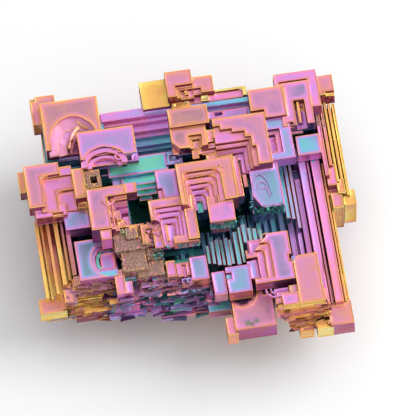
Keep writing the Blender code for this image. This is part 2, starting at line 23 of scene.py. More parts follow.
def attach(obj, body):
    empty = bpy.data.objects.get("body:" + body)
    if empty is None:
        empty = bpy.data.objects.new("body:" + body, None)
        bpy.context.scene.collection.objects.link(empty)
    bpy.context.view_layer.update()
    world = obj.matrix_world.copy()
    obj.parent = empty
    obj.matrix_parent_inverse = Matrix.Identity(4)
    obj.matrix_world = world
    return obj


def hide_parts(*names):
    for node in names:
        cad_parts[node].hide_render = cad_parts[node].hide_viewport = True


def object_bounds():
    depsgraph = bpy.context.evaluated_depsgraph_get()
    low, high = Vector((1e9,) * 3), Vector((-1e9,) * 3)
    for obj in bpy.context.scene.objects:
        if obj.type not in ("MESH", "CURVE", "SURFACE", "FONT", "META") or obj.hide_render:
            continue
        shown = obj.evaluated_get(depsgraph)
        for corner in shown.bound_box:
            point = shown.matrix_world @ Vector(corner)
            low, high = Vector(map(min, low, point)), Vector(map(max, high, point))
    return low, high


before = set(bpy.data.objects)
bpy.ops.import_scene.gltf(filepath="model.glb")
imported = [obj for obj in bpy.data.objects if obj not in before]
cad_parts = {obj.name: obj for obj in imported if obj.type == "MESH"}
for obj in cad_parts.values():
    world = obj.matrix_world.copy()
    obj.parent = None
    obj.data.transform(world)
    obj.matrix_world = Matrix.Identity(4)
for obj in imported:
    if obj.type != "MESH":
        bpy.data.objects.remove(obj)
CAD_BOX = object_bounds()

LOG = logging.getLogger("hopper_crystal")
MM = 0.001
NODE = "hopper_crystal"
BODY = "root"
SHIFT = (0.1, 1.25)         # from the cluster's own plan coordinates to the frame, mm
FLAT = 0.995                # least cosine between two faces of one flat region


class Tint(Enum):
    """A face's oxide: film thickness at its middle (0 to 1) and how dull the middle is."""

    SILVER = (0.0, 0.6)
    STRAW = (0.1, 0.1)
    GOLD = (0.2, 0.0)
    ORANGE = (0.29, 0.1)
    SALMON = (0.42, 0.6)
    TAN = (0.42, 1.0)
    ROSE = (0.47, 0.6)
    PINK = (0.53, 0.35)
    MAUVE = (0.52, 0.95)
    ORCHID = (0.59, 0.5)
    LILAC = (0.67, 0.45)
    HEATHER = (0.64, 0.95)
    BLUE = (0.77, 0.45)
    STEEL = (0.81, 0.65)
    CYAN = (0.88, 0.0)
    TEAL = (0.93, 0.3)
    MINT = (0.99, 0.0)

    @property
    def film(self) -> float:
        """Film thickness at the middle."""
        return self.value[0]

    @property
    def dull(self) -> float:
        """How dull the middle is."""
        return self.value[1]


@dataclass(frozen=True)
class Facet:
    """The finish of one crystal's top and of the steps inside it."""

    plan: tuple[float, float, float, float]
    top: float
    tint: Tint
    inner: Tint = Tint.PINK
    side: Tint = Tint.ROSE


T = Tint
FACETS = (
    # back row
    Facet((-27.5, 20.2, -22.7, 26.1), 21.0, T.ROSE, T.SALMON, T.GOLD),
    Facet((-6.1, 20.3, -0.8, 26.2), 20.5, T.GOLD, T.GOLD, T.GOLD),
    Facet((-1.1, 20.9, 4.1, 26.4), 23.0, T.ROSE, T.SALMON, T.ORANGE),
    Facet((2.3, 21.6, 8.1, 25.2), 21.7, T.ROSE, T.PINK, T.SALMON),
    Facet((1.9, 20.4, 14.3, 22.4), 20.4, T.STRAW, T.ORCHID, T.SALMON),
    Facet((19.7, 14.8, 28.0, 22.8), 22.4, T.ORCHID, T.PINK, T.PINK),
    Facet((28.0, 17.9, 31.1, 22.1), 20.5, T.ROSE, T.GOLD, T.SALMON),
    # back left
    Facet((-25.9, 13.1, -14.8, 23.4), 23.4, T.TAN, T.ROSE, T.SALMON),
    Facet((-19.8, 9.7, -8.8, 15.6), 24.1, T.HEATHER, T.ORCHID, T.PINK),
    Facet((-18.3, 9.1, -11.0, 11.6), 20.7, T.ORCHID, T.LILAC, T.PINK),
    # west corner and west centre
    Facet((-30.9, 2.1, -27.9, 11.1), 22.1, T.MAUVE, T.ROSE, T.SALMON),
    Facet((-30.9, 8.5, -24.1, 11.1), 22.1, T.MAUVE, T.ROSE, T.SALMON),
    Facet((-32.1, 6.1, -30.4, 10.6), 20.9, T.SALMON, T.ROSE, T.GOLD),
    Facet((-28.5, 1.2, -21.7, 10.3), 21.3, T.ORCHID, T.PINK, T.ROSE),
    Facet((-29.9, 0.3, -23.8, 2.7), 20.7, T.ORCHID, T.ROSE, T.STRAW),
    Facet((-24.6, -2.6, -19.7, 1.9), 19.8, T.BLUE, T.PINK, T.PINK),
    Facet((-21.9, 2.2, -19.6, 8.6), 23.1, T.SALMON, T.ROSE, T.GOLD),
    Facet((-20.2, 4.4, -16.5, 8.1), 22.3, T.TAN, T.TAN, T.TAN),
    Facet((-21.6, 1.0, -19.5, 3.0), 21.2, T.SALMON, T.GOLD, T.GOLD),
    Facet((-19.8, -5.7, -12.2, 3.2), 24.5, T.MAUVE, T.PINK, T.ROSE),
    Facet((-12.7, 1.2, -10.1, 3.4), 24.3, T.PINK, T.ROSE, T.ROSE),
    Facet((-18.3, -7.7, -16.2, -5.1), 23.9, T.PINK, T.ROSE, T.ROSE),
    Facet((-16.2, -3.6, -13.9, -1.6), 22.9, T.PINK, T.ROSE, T.ROSE),
    Facet((-15.6, -4.9, -13.2, -3.2), 22.3, T.PINK, T.ROSE, T.ROSE),
    # teal crystal, its neighbour and its terraces
    Facet((-14.8, 7.0, -3.0, 10.8), 20.0, T.MINT, T.TEAL, T.CYAN),
    Facet((-3.4, 7.7, -0.2, 10.5), 20.6, T.MINT, T.CYAN, T.TEAL),
    Facet((-14.2, 5.9, -5.8, 8.9), 18.6, T.CYAN, T.CYAN, T.TEAL),
    Facet((-10.6, 5.4, -5.6, 9.0), 17.1, T.CYAN, T.MINT, T.TEAL),
    Facet((-9.9, 4.9, -5.2, 9.1), 15.4, T.MINT, T.MINT, T.TEAL),
    Facet((-9.4, 4.5, -5.0, 9.2), 13.7, T.MINT, T.MINT, T.TEAL),
    # middle of the back, spiral and south arch
    Facet((-1.8, 13.3, 5.9, 17.3), 25.2, T.TAN, T.SALMON, T.SALMON),
    Facet((-1.9, 9.0, 5.0, 13.7), 24.4, T.TAN, T.ROSE, T.SALMON),
    Facet((1.7, 7.3, 3.0, 10.3), 22.6, T.PINK, T.PINK, T.ROSE),
    Facet((-2.1, -3.7, 8.9, 5.2), 25.7, T.SALMON, T.PINK, T.ROSE),
    Facet((2.8, -7.8, 7.8, -2.1), 24.8, T.ORCHID, T.PINK, T.SALMON),
    Facet((-8.3, -10.2, 0.4, -0.9), 24.0, T.MAUVE, T.ORCHID, T.ROSE),
    Facet((-6.0, -0.3, -2.0, 5.8), 22.6, T.BLUE, T.ORCHID, T.LILAC),
    Facet((-10.5, -9.0, -5.3, -4.8), 22.0, T.ROSE, T.MAUVE, T.ROSE),
    Facet((-4.6, -10.4, 0.2, -8.9), 23.4, T.ROSE, T.PINK, T.SALMON),
    Facet((9.2, -1.6, 10.3, 7.1), 21.6, T.ORCHID, T.ORCHID, T.LILAC),
    Facet((10.6, 0.4, 11.4, 6.4), 21.1, T.PINK, T.PINK, T.LILAC),
    Facet((11.5, 2.9, 12.7, 7.7), 21.9, T.BLUE, T.PINK, T.LILAC),
    Facet((11.9, -4.9, 17.7, 4.6), 22.1, T.STEEL, T.BLUE, T.LILAC),
    # east arch and its sills
    Facet((6.4, 3.2, 16.7, 14.1), 24.6, T.MAUVE, T.PINK, T.SALMON),
    Facet((4.6, 9.9, 9.1, 12.5), 23.6, T.PINK, T.PINK, T.ROSE),
    Facet((2.9, 8.0, 9.3, 10.4), 22.7, T.ORCHID, T.PINK, T.ROSE),
    Facet((4.3, 6.6, 9.4, 8.5), 21.9, T.PINK, T.PINK, T.ROSE),
    # north east
    Facet((6.2, 16.9, 15.2, 18.8), 18.6, T.LILAC, T.STEEL, T.LILAC),
    Facet((14.2, 13.1, 21.1, 19.5), 24.0, T.MAUVE, T.PINK, T.SALMON),
    Facet((16.2, 4.3, 21.3, 13.3), 23.1, T.STEEL, T.ORCHID, T.LILAC),
    Facet((20.0, 10.9, 26.1, 20.2), 23.4, T.HEATHER, T.ORCHID, T.LILAC),
    Facet((23.2, 11.6, 23.7, 16.5), 22.7, T.PINK, T.PINK, T.LILAC),
    Facet((22.0, 5.9, 26.6, 10.1), 20.1, T.CYAN, T.TEAL, T.PINK),
    # east edge
    Facet((26.9, 0.1, 28.8, 4.6), 17.1, T.ORCHID, T.PINK, T.PINK),
    Facet((27.2, -4.4, 29.3, -1.2), 16.2, T.PINK, T.SALMON, T.STRAW),
    Facet((29.4, -3.7, 31.9, -0.5), 15.2, T.GOLD, T.GOLD, T.SILVER),
    Facet((28.6, -1.6, 30.1, 1.4), 16.6, T.SALMON, T.GOLD, T.GOLD),
    # front
    Facet((9.7, -19.8, 17.4, -9.5), 20.1, T.HEATHER, T.PINK, T.ROSE),
    Facet((8.7, -18.0, 10.5, -14.1), 18.6, T.BLUE, T.LILAC, T.PINK),
    Facet((8.8, -13.6, 10.9, -11.9), 18.9, T.ORCHID, T.PINK, T.PINK),
    Facet((1.7, -20.3, 4.2, -15.4), 18.6, T.BLUE, T.LILAC, T.TAN),
    Facet((4.4, -20.6, 9.0, -15.0), 19.2, T.STEEL, T.TEAL, T.TAN),
    Facet((3.1, -27.6, 5.1, -23.8), 15.4, T.PINK, T.PINK, T.ORANGE),
    Facet((4.7, -27.1, 12.6, -19.2), 16.1, T.MAUVE, T.ORCHID, T.ORANGE),
    Facet((17.5, -25.3, 22.3, -15.0), 20.1, T.ROSE, T.MAUVE, T.STRAW),
    Facet((14.2, -25.2, 22.7, -22.6), 20.0, T.ORCHID, T.PINK, T.STRAW),
    Facet((13.0, -24.1, 17.9, -20.6), 18.9, T.ORCHID, T.LILAC, T.PINK),
    Facet((22.8, -28.8, 27.4, -23.9), 15.6, T.SALMON, T.ROSE, T.SILVER),
    Facet((20.2, -28.9, 23.4, -27.3), 15.1, T.ORANGE, T.ORANGE, T.SILVER),
    Facet((16.9, -28.6, 19.7, -26.1), 13.9, T.SALMON, T.PINK, T.ORANGE),
    Facet((-6.7, -15.2, -4.9, -11.8), 19.1, T.ORCHID, T.PINK, T.ROSE),
    Facet((-4.8, -15.3, -2.2, -12.4), 18.7, T.LILAC, T.LILAC, T.PINK),
    Facet((-2.1, -16.7, 1.2, -11.8), 19.2, T.STEEL, T.TEAL, T.SALMON),
    Facet((-4.1, -16.6, 0.9, -15.6), 18.3, T.TEAL, T.TEAL, T.TAN),
    Facet((-16.8, -17.2, -14.9, -12.1), 19.0, T.ORCHID, T.LILAC, T.PINK),
    Facet((-16.6, -17.2, -13.6, -14.8), 18.8, T.BLUE, T.LILAC, T.PINK),
    Facet((-31.7, -16.4, -26.5, -13.2), 13.1, T.SALMON, T.ROSE, T.STRAW),
    Facet((-30.4, -15.7, -24.9, -12.4), 10.9, T.SALMON, T.ROSE, T.STRAW),
    Facet((-26.8, -15.9, -25.2, -12.3), 15.9, T.SALMON, T.ROSE, T.SALMON),
    Facet((-23.4, -13.4, -15.9, -4.9), 19.1, T.TEAL, T.LILAC, T.PINK),
    # rough lump
    Facet((-15.9, -9.2, -9.6, -3.9), 20.9, T.TAN, T.TAN, T.TAN),
    Facet((-14.9, -13.2, -10.2, -7.3), 20.1, T.TAN, T.TAN, T.TAN),
    Facet((-12.3, -14.3, -7.1, -10.1), 18.9, T.TAN, T.TAN, T.TAN),
    Facet((-13.4, -7.1, -11.2, -4.6), 21.7, T.TAN, T.TAN, T.TAN),
    Facet((-9.9, -11.3, -6.9, -8.4), 19.9, T.TAN, T.TAN, T.TAN),
)
del T


@dataclass(frozen=True)
class Zone:
    """Ledges or layers whose film thins from corner to corner, so that its colour runs along them."""

    low: tuple[float, float, float]
    high: tuple[float, float, float]
    west_front: float
    east_front: float
    west_back: float
    east_back: float
    dull: float = 0.0
    jitter: float = 0.0         # how much the film differs from ledge to ledge
    light: float = 1.0          # painted light: how much brighter the zone is painted than its share of the sky; below 1, painted shade

    def holds(self, points: np.ndarray) -> np.ndarray:
        """Which points lie in the zone's box."""
        return np.all((points >= self.low) & (points <= self.high), axis=1)

    def film(self, points: np.ndarray) -> np.ndarray:
        """Film thickness at each point.

        Args:
            points: rows of x, y, z in the cluster's own millimetres.

        Returns:
            One thickness a row.
        """
        u = np.clip((points[:, 0] - self.low[0]) / (self.high[0] - self.low[0]), 0.0, 1.0)
        v = np.clip((points[:, 1] - self.low[1]) / (self.high[1] - self.low[1]), 0.0, 1.0)
        front = self.west_front * (1 - u) + self.east_front * u
        back = self.west_back * (1 - u) + self.east_back * u
        return front * (1 - v) + back * v


# A zone's light, the last of its numbers where given, is painted light: above 1 its faces are painted
# brighter than their sky share, below 1 darker as painted shade.
ZONES = (
    Zone((17.7, -25.0, 13.0), (26.2, 7.5, 18.5), 0.62, 0.50, 0.90, 0.62, 0.15, 0.03, 1.7),
    Zone((26.2, -25.2, 13.0), (27.6, 1.5, 18.9), 0.38, 0.20, 0.44, 0.24, 0.0, 0.04),
    Zone((26.5, -2.2, 13.0), (31.2, 18.7, 19.2), 0.50, 0.16, 0.58, 0.22, 0.25, 0.12),
    Zone((-30.5, -14.4, 12.5), (-23.5, 2.5, 18.0), 0.18, 0.42, 0.36, 0.62, 0.0, 0.14, 2.0),
    Zone((-26.2, -17.5, 14.5), (-15.5, -12.7, 17.6), 0.40, 0.50, 0.46, 0.56, 0.8, 0.08),
    Zone((-26.2, -17.5, 9.0), (-15.5, -12.7, 14.5), 0.18, 0.30, 0.30, 0.40, 0.35, 0.08),
    Zone((-19.0, -20.0, 9.0), (2.6, -14.6, 17.8), 0.66, 0.62, 0.72, 0.78, 0.6, 0.18),
    Zone((12.7, -27.8, 12.5), (23.0, -25.0, 18.7), 0.40, 0.34, 0.52, 0.44, 0.5, 0.14),
    Zone((-13.6, -5.5, 4.0), (-6.6, 6.2, 13.2), 0.95, 0.95, 0.95, 0.95, 0.3, 0.03, 0.05),
    Zone((-14.2, -5.5, 9.0), (-6.2, 2.2, 18.4), 0.95, 0.95, 0.95, 0.95, 0.3, 0.03, 0.08),
    Zone((-3.6, -14.2, 9.0), (18.2, -6.4, 14.2), 0.95, 0.88, 0.97, 0.90, 0.0, 0.05, 9.0),
    Zone((-3.6, -6.4, 9.0), (11.6, 2.0, 14.2), 0.98, 0.94, 0.99, 0.95, 0.0, 0.06, 0.3),
    Zone((11.6, -6.4, 9.0), (18.2, 5.0, 14.2), 0.93, 0.88, 0.95, 0.90, 0.0, 0.05, 7.0),
    Zone((-14.6, 18.9, 18.0), (14.8, 21.5, 20.0), 0.62, 0.95, 0.62, 0.95, 0.1, 0.02),
    Zone((-14.6, 16.8, 15.0), (14.8, 21.0, 18.5), 0.64, 0.74, 0.66, 0.78, 0.0, 0.08, 6.0),
    Zone((-14.6, 14.2, 9.0), (14.8, 19.6, 15.0), 0.90, 0.98, 0.86, 0.94, 0.0, 0.07, 9.0),
    Zone((-16.0, 4.0, 13.3), (-4.0, 14.6, 18.8), 0.98, 0.98, 0.96, 0.96, 0.0, 0.04, 5.0),
)


@dataclass(frozen=True)
class Weathering:
    """The finish where no crystal or ledge sets one: by height on the outside of the flare."""

    top_film: float = 0.26      # at the height of the crystals
    low_film: float = 0.62      # on the root's sides
    band: float = 0.16          # swing of the film from tier to tier
    band_height: float = 5.2    # mm
    dull: float = 0.35
    base_dull: float = 0.9
    jitter: float = 0.05
    rim_step: float = 0.25

    def film(self, points: np.ndarray) -> np.ndarray:
        """Film thickness at each point of the outside, from its height."""
        share = np.clip(points[:, 2] / 19.0, 0.0, 1.0)
        swing = self.band * np.sin(points[:, 2] * math.tau / self.band_height)
        return self.low_film + (self.top_film - self.low_film) * share + swing


def place_in_cluster(points: np.ndarray) -> np.ndarray:
    """The cluster's own millimetres for frame millimetres."""
    return points - np.array((*SHIFT, 0.0))


def select_only(item: bpy.types.Object) -> None:
    """Makes one object the selected and active one."""
    if bpy.context.object and bpy.context.object.mode != "OBJECT":
        bpy.ops.object.mode_set(mode="OBJECT")
    bpy.ops.object.select_all(action="DESELECT")
    item.select_set(True)
    bpy.context.view_layer.objects.active = item


def apply_modifiers(item: bpy.types.Object) -> None:
    """Applies each modifier of the object in turn."""
    select_only(item)
    for modifier in list(item.modifiers):
        bpy.ops.object.modifier_apply(modifier=modifier.name)


def pick_faces(bm: bmesh.types.BMesh, wanted: set[int]) -> None:
    """Selects just the faces with these indices."""
    for face in bm.faces:
        face.select_set(False)
    for face in bm.faces:
        if face.index in wanted:
            face.select_set(True)


@dataclass
class GrowthShell:
    """The cluster's own surface, with a raised rim and a sunk middle on every flat face."""

    rim: float = 0.2            # widest rim, mm
    rim_share: float = 0.27     # widest rim as a share of a face's width
    lip: float = 0.05           # width of the step from the rim to the middle
    sink: float = 0.09          # depth of that step
    cell: float = 0.8           # spacing of the cuts over the upward faces, mm
    chamfer: float = 0.03       # width of the worn edges
    wander: float = 0.26        # how far the edges stray from straight
    swell: float = 0.10         # how uneven the faces are
    fade: float = 0.26          # distance over which the edge colours fade, mm
    rays: int = 14              # rays for how open a face is
    reach: float = 9.0          # their length, mm
    lit_tops: float = 2.1       # painted light and shade: openness of upward faces is raised by this, and of walls
    lit_walls: float = 0.78
    lit_steps: float = 0.45     # painted shade: and of the low walls of a hollow's steps once more
    step_height: float = 0.95   # mm
    lift: float = 0.25          # painted light: what a brighter zone's shut faces gain, times its light less 1
    brightest: float = 2.0      # painted light: cap on a brighter zone's openness, where its faces are also least metallic
    classes: tuple[float, ...] = (0.2, 0.14, 0.09, 0.05, 0.03)
    widths: dict[int, float] = field(default_factory=dict)
    seats: dict[int, Vector] = field(default_factory=dict)
    facings: dict[int, Vector] = field(default_factory=dict)
    bounds_of: dict[int, np.ndarray] = field(default_factory=dict)
    tree: BVHTree | None = None     # the surface before it is dressed
    fan: list[Vector] = field(default_factory=list)     # the rays' directions round +z

    def build(self) -> bpy.types.Object:
        """Makes the dressed surface.

        Returns:
            The object, in millimetres still.
        """
        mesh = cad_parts[NODE].data.copy()
        mesh.materials.clear()
        mesh.transform(Matrix.Scale(1 / MM, 4))
        item = bpy.data.objects.new("crystal_cluster", mesh)
        bpy.context.scene.collection.objects.link(item)
        select_only(item)
        bpy.ops.object.mode_set(mode="EDIT")
        bpy.ops.mesh.select_all(action="SELECT")
        bpy.ops.mesh.remove_doubles(threshold=0.0005)
        bpy.ops.mesh.dissolve_limited(angle_limit=math.radians(0.4))
        self.tree = BVHTree.FromBMesh(bmesh.from_edit_mesh(mesh))
        self.number_regions(mesh)
        self.part_regions(mesh)
        self.raise_rims(mesh)
        self.tame_spikes(mesh)
        self.cut_grid(item)
        self.close_seams(mesh)
        bpy.ops.mesh.select_all(action="SELECT")
        bpy.ops.mesh.remove_doubles(threshold=0.001)
        bpy.ops.mesh.delete_loose(use_verts=True, use_edges=True, use_faces=False)
        bpy.ops.mesh.select_mode(type="EDGE")
        bpy.ops.mesh.select_all(action="DESELECT")
        bpy.ops.mesh.select_non_manifold(extend=False, use_wire=False, use_boundary=True,
                                         use_multi_face=False, use_non_contiguous=False,
                                         use_verts=False)
        bpy.ops.mesh.fill_holes(sides=0)
        bpy.ops.mesh.select_mode(type="FACE")
        bpy.ops.object.mode_set(mode="OBJECT")
        self.wear_edges(item)
        self.loosen(item)
        return item

    def number_regions(self, mesh: bpy.types.Mesh) -> None:
        """Gives each flat region a number, and measures its width, a point on it and its edge."""
        bm = bmesh.from_edit_mesh(mesh)
        layer = bm.faces.layers.int.new("region")
        seen: set[bmesh.types.BMFace] = set()
        number = 0
        for start in bm.faces:
            if start in seen:
                continue
            number += 1
            seen.add(start)
            region, queue = [], [start]
            while queue:
                face = queue.pop()
                region.append(face)
                face[layer] = number
                for edge in face.edges:
                    for other in edge.link_faces:
                        if other not in seen and other.normal.dot(face.normal) > FLAT:
                            seen.add(other)
                            queue.append(other)
            self.measure_region(number, region)
        bmesh.update_edit_mesh(mesh)

    def measure_region(self, number: int, region: list[bmesh.types.BMFace]) -> None:
        """Keeps a region's width, a point on its biggest face, its direction and its edge lines.

        Args:
            number: the region's number.
            region: its faces.
        """
        inside = set(region)
        starts, ends, inwards = [], [], []
        for face in region:
            for loop in face.loops:
                if any(other in inside for other in loop.edge.link_faces if other is not face):
                    continue
                a, b = loop.vert.co, loop.link_loop_next.vert.co
                along = (b - a).normalized()
                starts.append(a.copy())
                ends.append(b.copy())
                inwards.append(face.normal.cross(along))
        biggest = max(region, key=lambda face: face.calc_area())
        self.seats[number] = self.point_on(biggest)
        self.facings[number] = biggest.normal.copy()
        self.bounds_of[number] = np.array([(*a, *b) for a, b in zip(starts, ends)])
        self.widths[number] = self.least_width(np.array(starts), np.array(ends), np.array(inwards))

    @staticmethod
    def point_on(face: bmesh.types.BMFace) -> Vector:
        """A point inside a face, in the biggest of its triangles."""
        corners = [loop.vert.co for loop in face.loops]
        if len(corners) <= 4:
            return face.calc_center_median()
        flat = [corners]
        best, spot = -1.0, face.calc_center_median()
        for a, b, c in tessellate_polygon(flat):
            p, q, r = corners[a], corners[b], corners[c]
            size = (q - p).cross(r - p).length
            if size > best:
                best, spot = size, (p + q + r) / 3
        return spot

    @staticmethod
    def least_width(starts: np.ndarray, ends: np.ndarray, inwards: np.ndarray) -> float:
        """Least distance between two parallel edges that face each other across the region.

        Args:
            starts: where each edge starts.
            ends: where it ends.
            inwards: the direction into the region, square to it.

        Returns:
            The width, in millimetres.
        """
        least_overlap, parallel = 0.22, -0.98
        spans = ends - starts
        lengths = np.linalg.norm(spans, axis=1)
        along = spans / np.maximum(lengths, 1e-9)[:, None]
        facing = inwards @ inwards.T < parallel
        offset = starts[None, :, :] - starts[:, None, :]
        across = np.einsum("ijk,ik->ij", offset, inwards)
        first = np.einsum("ijk,ik->ij", offset, along)
        second = first + np.einsum("jk,ik->ij", spans, along)
        low = np.maximum(np.minimum(first, second), 0.0)
        high = np.minimum(np.maximum(first, second), lengths[:, None])
        good = facing & (across > 1e-4) & (high - low > least_overlap)
        return float(across[good].min()) if good.any() else 0.0

    def part_regions(self, mesh: bpy.types.Mesh) -> None:
        """Splits the mesh along the edges between regions, so that each stands alone."""
        bm = bmesh.from_edit_mesh(mesh)
        layer = bm.faces.layers.int["region"]
        bpy.ops.mesh.select_mode(type="EDGE")
        bpy.ops.mesh.select_all(action="DESELECT")
        for edge in bm.edges:
            numbers = {face[layer] for face in edge.link_faces}
            edge.select_set(len(numbers) > 1 or len(edge.link_faces) != 2)
        bmesh.update_edit_mesh(mesh)
        bpy.ops.mesh.edge_split(type="EDGE")
        bpy.ops.mesh.select_mode(type="FACE")

    def raise_rims(self, mesh: bpy.types.Mesh) -> None:
        """Insets each region by a rim that suits its width, then sinks what is inside it."""
        for size in self.classes:
            chosen = {number for number, width in self.widths.items()
                      if self.rim_class(width) == size}
            bm = bmesh.from_edit_mesh(mesh)
            layer = bm.faces.layers.int["region"]
            bm.faces.index_update()
            pick_faces(bm, {face.index for face in bm.faces if face[layer] in chosen})
            bmesh.update_edit_mesh(mesh)
            scale = size / self.rim
            bpy.ops.mesh.inset(thickness=size, depth=0.0, use_boundary=True)
            bpy.ops.mesh.inset(
                thickness=self.lip * scale, depth=-self.sink * scale, use_boundary=True
            )

    def tame_spikes(self, mesh: bpy.types.Mesh) -> None:
        """Brings back the corners that an inset threw far off, to the middle of their neighbours."""
        farthest, passes = 0.3, 4
        bm = bmesh.from_edit_mesh(mesh)
        stray = {vert for vert in bm.verts if self.tree.find_nearest(vert.co)[3] > farthest}
        for _ in range(passes):
            for vert in list(stray):
                near = [edge.other_vert(vert).co for edge in vert.link_edges
                        if edge.other_vert(vert) not in stray]
                if near:
                    vert.co = sum(near, Vector()) / len(near)
                    stray.discard(vert)
        bmesh.update_edit_mesh(mesh)

    @staticmethod
    def close_seams(mesh: bpy.types.Mesh) -> None:
        """Gives each open edge a corner wherever the far side of the seam has one."""
        close = 0.003
        bm = bmesh.from_edit_mesh(mesh)
        edges = [edge for edge in bm.edges if edge.is_boundary]
        spots = [vert.co.copy() for vert in {vert for edge in edges for vert in edge.verts}]
        near = KDTree(len(spots))
        for index, spot in enumerate(spots):
            near.insert(spot, index)
        near.balance()
        for edge in edges:
            start, end = edge.verts[0], edge.verts[1]
            span = end.co - start.co
            length = span.length
            if length < close * 4:
                continue
            along = span / length
            places = set()
            for spot, _, _ in near.find_range((start.co + end.co) / 2, length / 2):
                place = (spot - start.co).dot(along)
                off = (spot - start.co - along * place).length
                if off < close and close < place < length - close:
                    places.add(round(place, 3))
            for place in sorted(places, reverse=True):
                share = place / (edge.other_vert(start).co - start.co).length
                made, _ = bmesh.utils.edge_split(edge, start, share)
                edge = edge if start in edge.verts else made
        bmesh.update_edit_mesh(mesh)

    def rim_class(self, width: float) -> float:
        """The widest rim that a region of this width takes, or 0."""
        return next((size for size in self.classes if size <= width * self.rim_share), 0.0)

    def cut_grid(self, item: bpy.types.Object) -> None:
        """Cuts the wide upward faces into cells, so that their colours can change towards the middle.

        Args:
            item: the object, in edit mode; it is left in edit mode.
        """
        bm = bmesh.from_edit_mesh(item.data)
        layer = bm.faces.layers.int["region"]
        mark = bm.faces.layers.int.new("wide")
        for face in bm.faces:
            face[mark] = int(self.is_wide(face))
        chosen = {face[layer] for face in bm.faces if face[mark]}
        bm.faces.index_update()
        pick_faces(bm, {face.index for face in bm.faces if face[layer] in chosen})
        bmesh.update_edit_mesh(item.data)
        bpy.ops.mesh.separate(type="SELECTED")
        bpy.ops.object.mode_set(mode="OBJECT")
        plates = next(other for other in bpy.context.selected_objects if other is not item)
        self.cut_cells(plates.data)
        select_only(item)
        plates.select_set(True)
        bpy.ops.object.join()
        bpy.ops.object.mode_set(mode="EDIT")

    def cut_cells(self, mesh: bpy.types.Mesh) -> None:
        """Cuts the marked faces of a mesh by planes along x and y."""
        bm = bmesh.new()
        bm.from_mesh(mesh)
        mark = bm.faces.layers.int["wide"]
        for axis in (0, 1):
            spans = {face: self.span(face, axis) for face in bm.faces if face[mark]}
            low = min(start for start, _ in spans.values())
            high = max(end for _, end in spans.values())
            normal = Vector((0.0, 0.0, 0.0))
            normal[axis] = 1.0
            for step in range(1, int((high - low) / self.cell)):
                place = low + step * self.cell
                hit = [face for face, (start, end) in spans.items() if start < place < end]
                edges = {edge for face in hit for edge in face.edges}
                verts = {vert for face in hit for vert in face.verts}
                for face in hit:
                    del spans[face]
                made = bmesh.ops.bisect_plane(
                    bm, geom=[*hit, *edges, *verts], dist=0.0005, plane_co=normal * place,
                    plane_no=normal,
                )
                spans.update((part, self.span(part, axis)) for part in made["geom"]
                             if isinstance(part, bmesh.types.BMFace))
        bm.to_mesh(mesh)
        bm.free()

    @staticmethod
    def span(face: bmesh.types.BMFace, axis: int) -> tuple[float, float]:
        """Where a face starts and ends along an axis."""
        values = [vert.co[axis] for vert in face.verts]
        return min(values), max(values)

    def is_wide(self, face: bmesh.types.BMFace) -> bool:
        """Whether a face points up and is wider than a cell both ways."""
        least_up = 0.9
        if face.normal.z < least_up:
            return False
        spans = [self.span(face, axis) for axis in (0, 1)]
        return all(end - start > self.cell for start, end in spans)

    def wear_edges(self, item: bpy.types.Object) -> None:
        """Takes the sharpness off the outer edges."""
        worn = item.modifiers.new("worn_edges", "BEVEL")
        worn.width = self.chamfer
        worn.segments = 1
        worn.limit_method = "ANGLE"
        worn.angle_limit = math.radians(50.0)
        worn.use_clamp_overlap = False
        apply_modifiers(item)

    def loosen(self, item: bpy.types.Object) -> None:
        """Lets the edges stray and the faces swell a little, inside the cluster's box."""
        ways = (("X", self.wander, 2.2), ("Y", self.wander, 2.6), ("Z", self.swell, 3.4))
        for axis, strength, scale in ways:
            field_of = bpy.data.textures.new(f"stray_{axis}", "CLOUDS")
            field_of.noise_scale, field_of.noise_depth = scale, 2
            stray = item.modifiers.new(f"stray_{axis}", "DISPLACE")
            stray.texture, stray.texture_coords = field_of, "LOCAL"
            stray.direction, stray.strength, stray.mid_level = axis, strength, 0.5
        apply_modifiers(item)
        low, high = np.array(CAD_BOX[0]) / MM, np.array(CAD_BOX[1]) / MM
        points = np.clip(read_numbers(item.data.vertices, "co", 3), low, high)
        item.data.vertices.foreach_set("co", points.ravel())

    def paint(self, item: bpy.types.Object) -> None:
        """Writes the film, dullness, painted shade and light (from openness) and distance from the
        edge on the surface.

        Args:
            item: the dressed surface, in millimetres.
        """
        mesh = item.data
        points = read_numbers(mesh.vertices, "co", 3)
        corner_vert = read_numbers(mesh.loops, "vertex_index", 1).astype(int)
        totals = read_numbers(mesh.polygons, "loop_total", 1).astype(int)
        numbers = read_numbers(mesh.attributes["region"].data, "value", 1).astype(int)
        corner_face = np.repeat(np.arange(len(mesh.polygons)), totals)
        corner_region = numbers[corner_face]
        edge = np.full(len(points), 9.0)
        share = np.ones(len(corner_vert))
        order = np.argsort(corner_region, kind="stable")
        cuts = np.searchsorted(corner_region[order], np.arange(1, max(self.widths) + 2))
        for number in self.widths:
            corners = order[cuts[number - 1]:cuts[number]]
            if not len(corners):
                continue
            away = self.edge_distance(number, points[corner_vert[corners]])
            edge[corner_vert[corners]] = np.minimum(edge[corner_vert[corners]], away)
            share[corners] = self.grade(number, away)
        opened = self.openness(mesh)
        middle, rim, dull = self.finish_of(mesh, numbers, opened, corner_face,
                                           place_in_cluster(points)[corner_vert])
        write_attribute(mesh, "film", "CORNER", rim + (middle - rim) * share)
        write_attribute(mesh, "dull", "CORNER", dull)
        write_attribute(mesh, "inset", "POINT", edge)
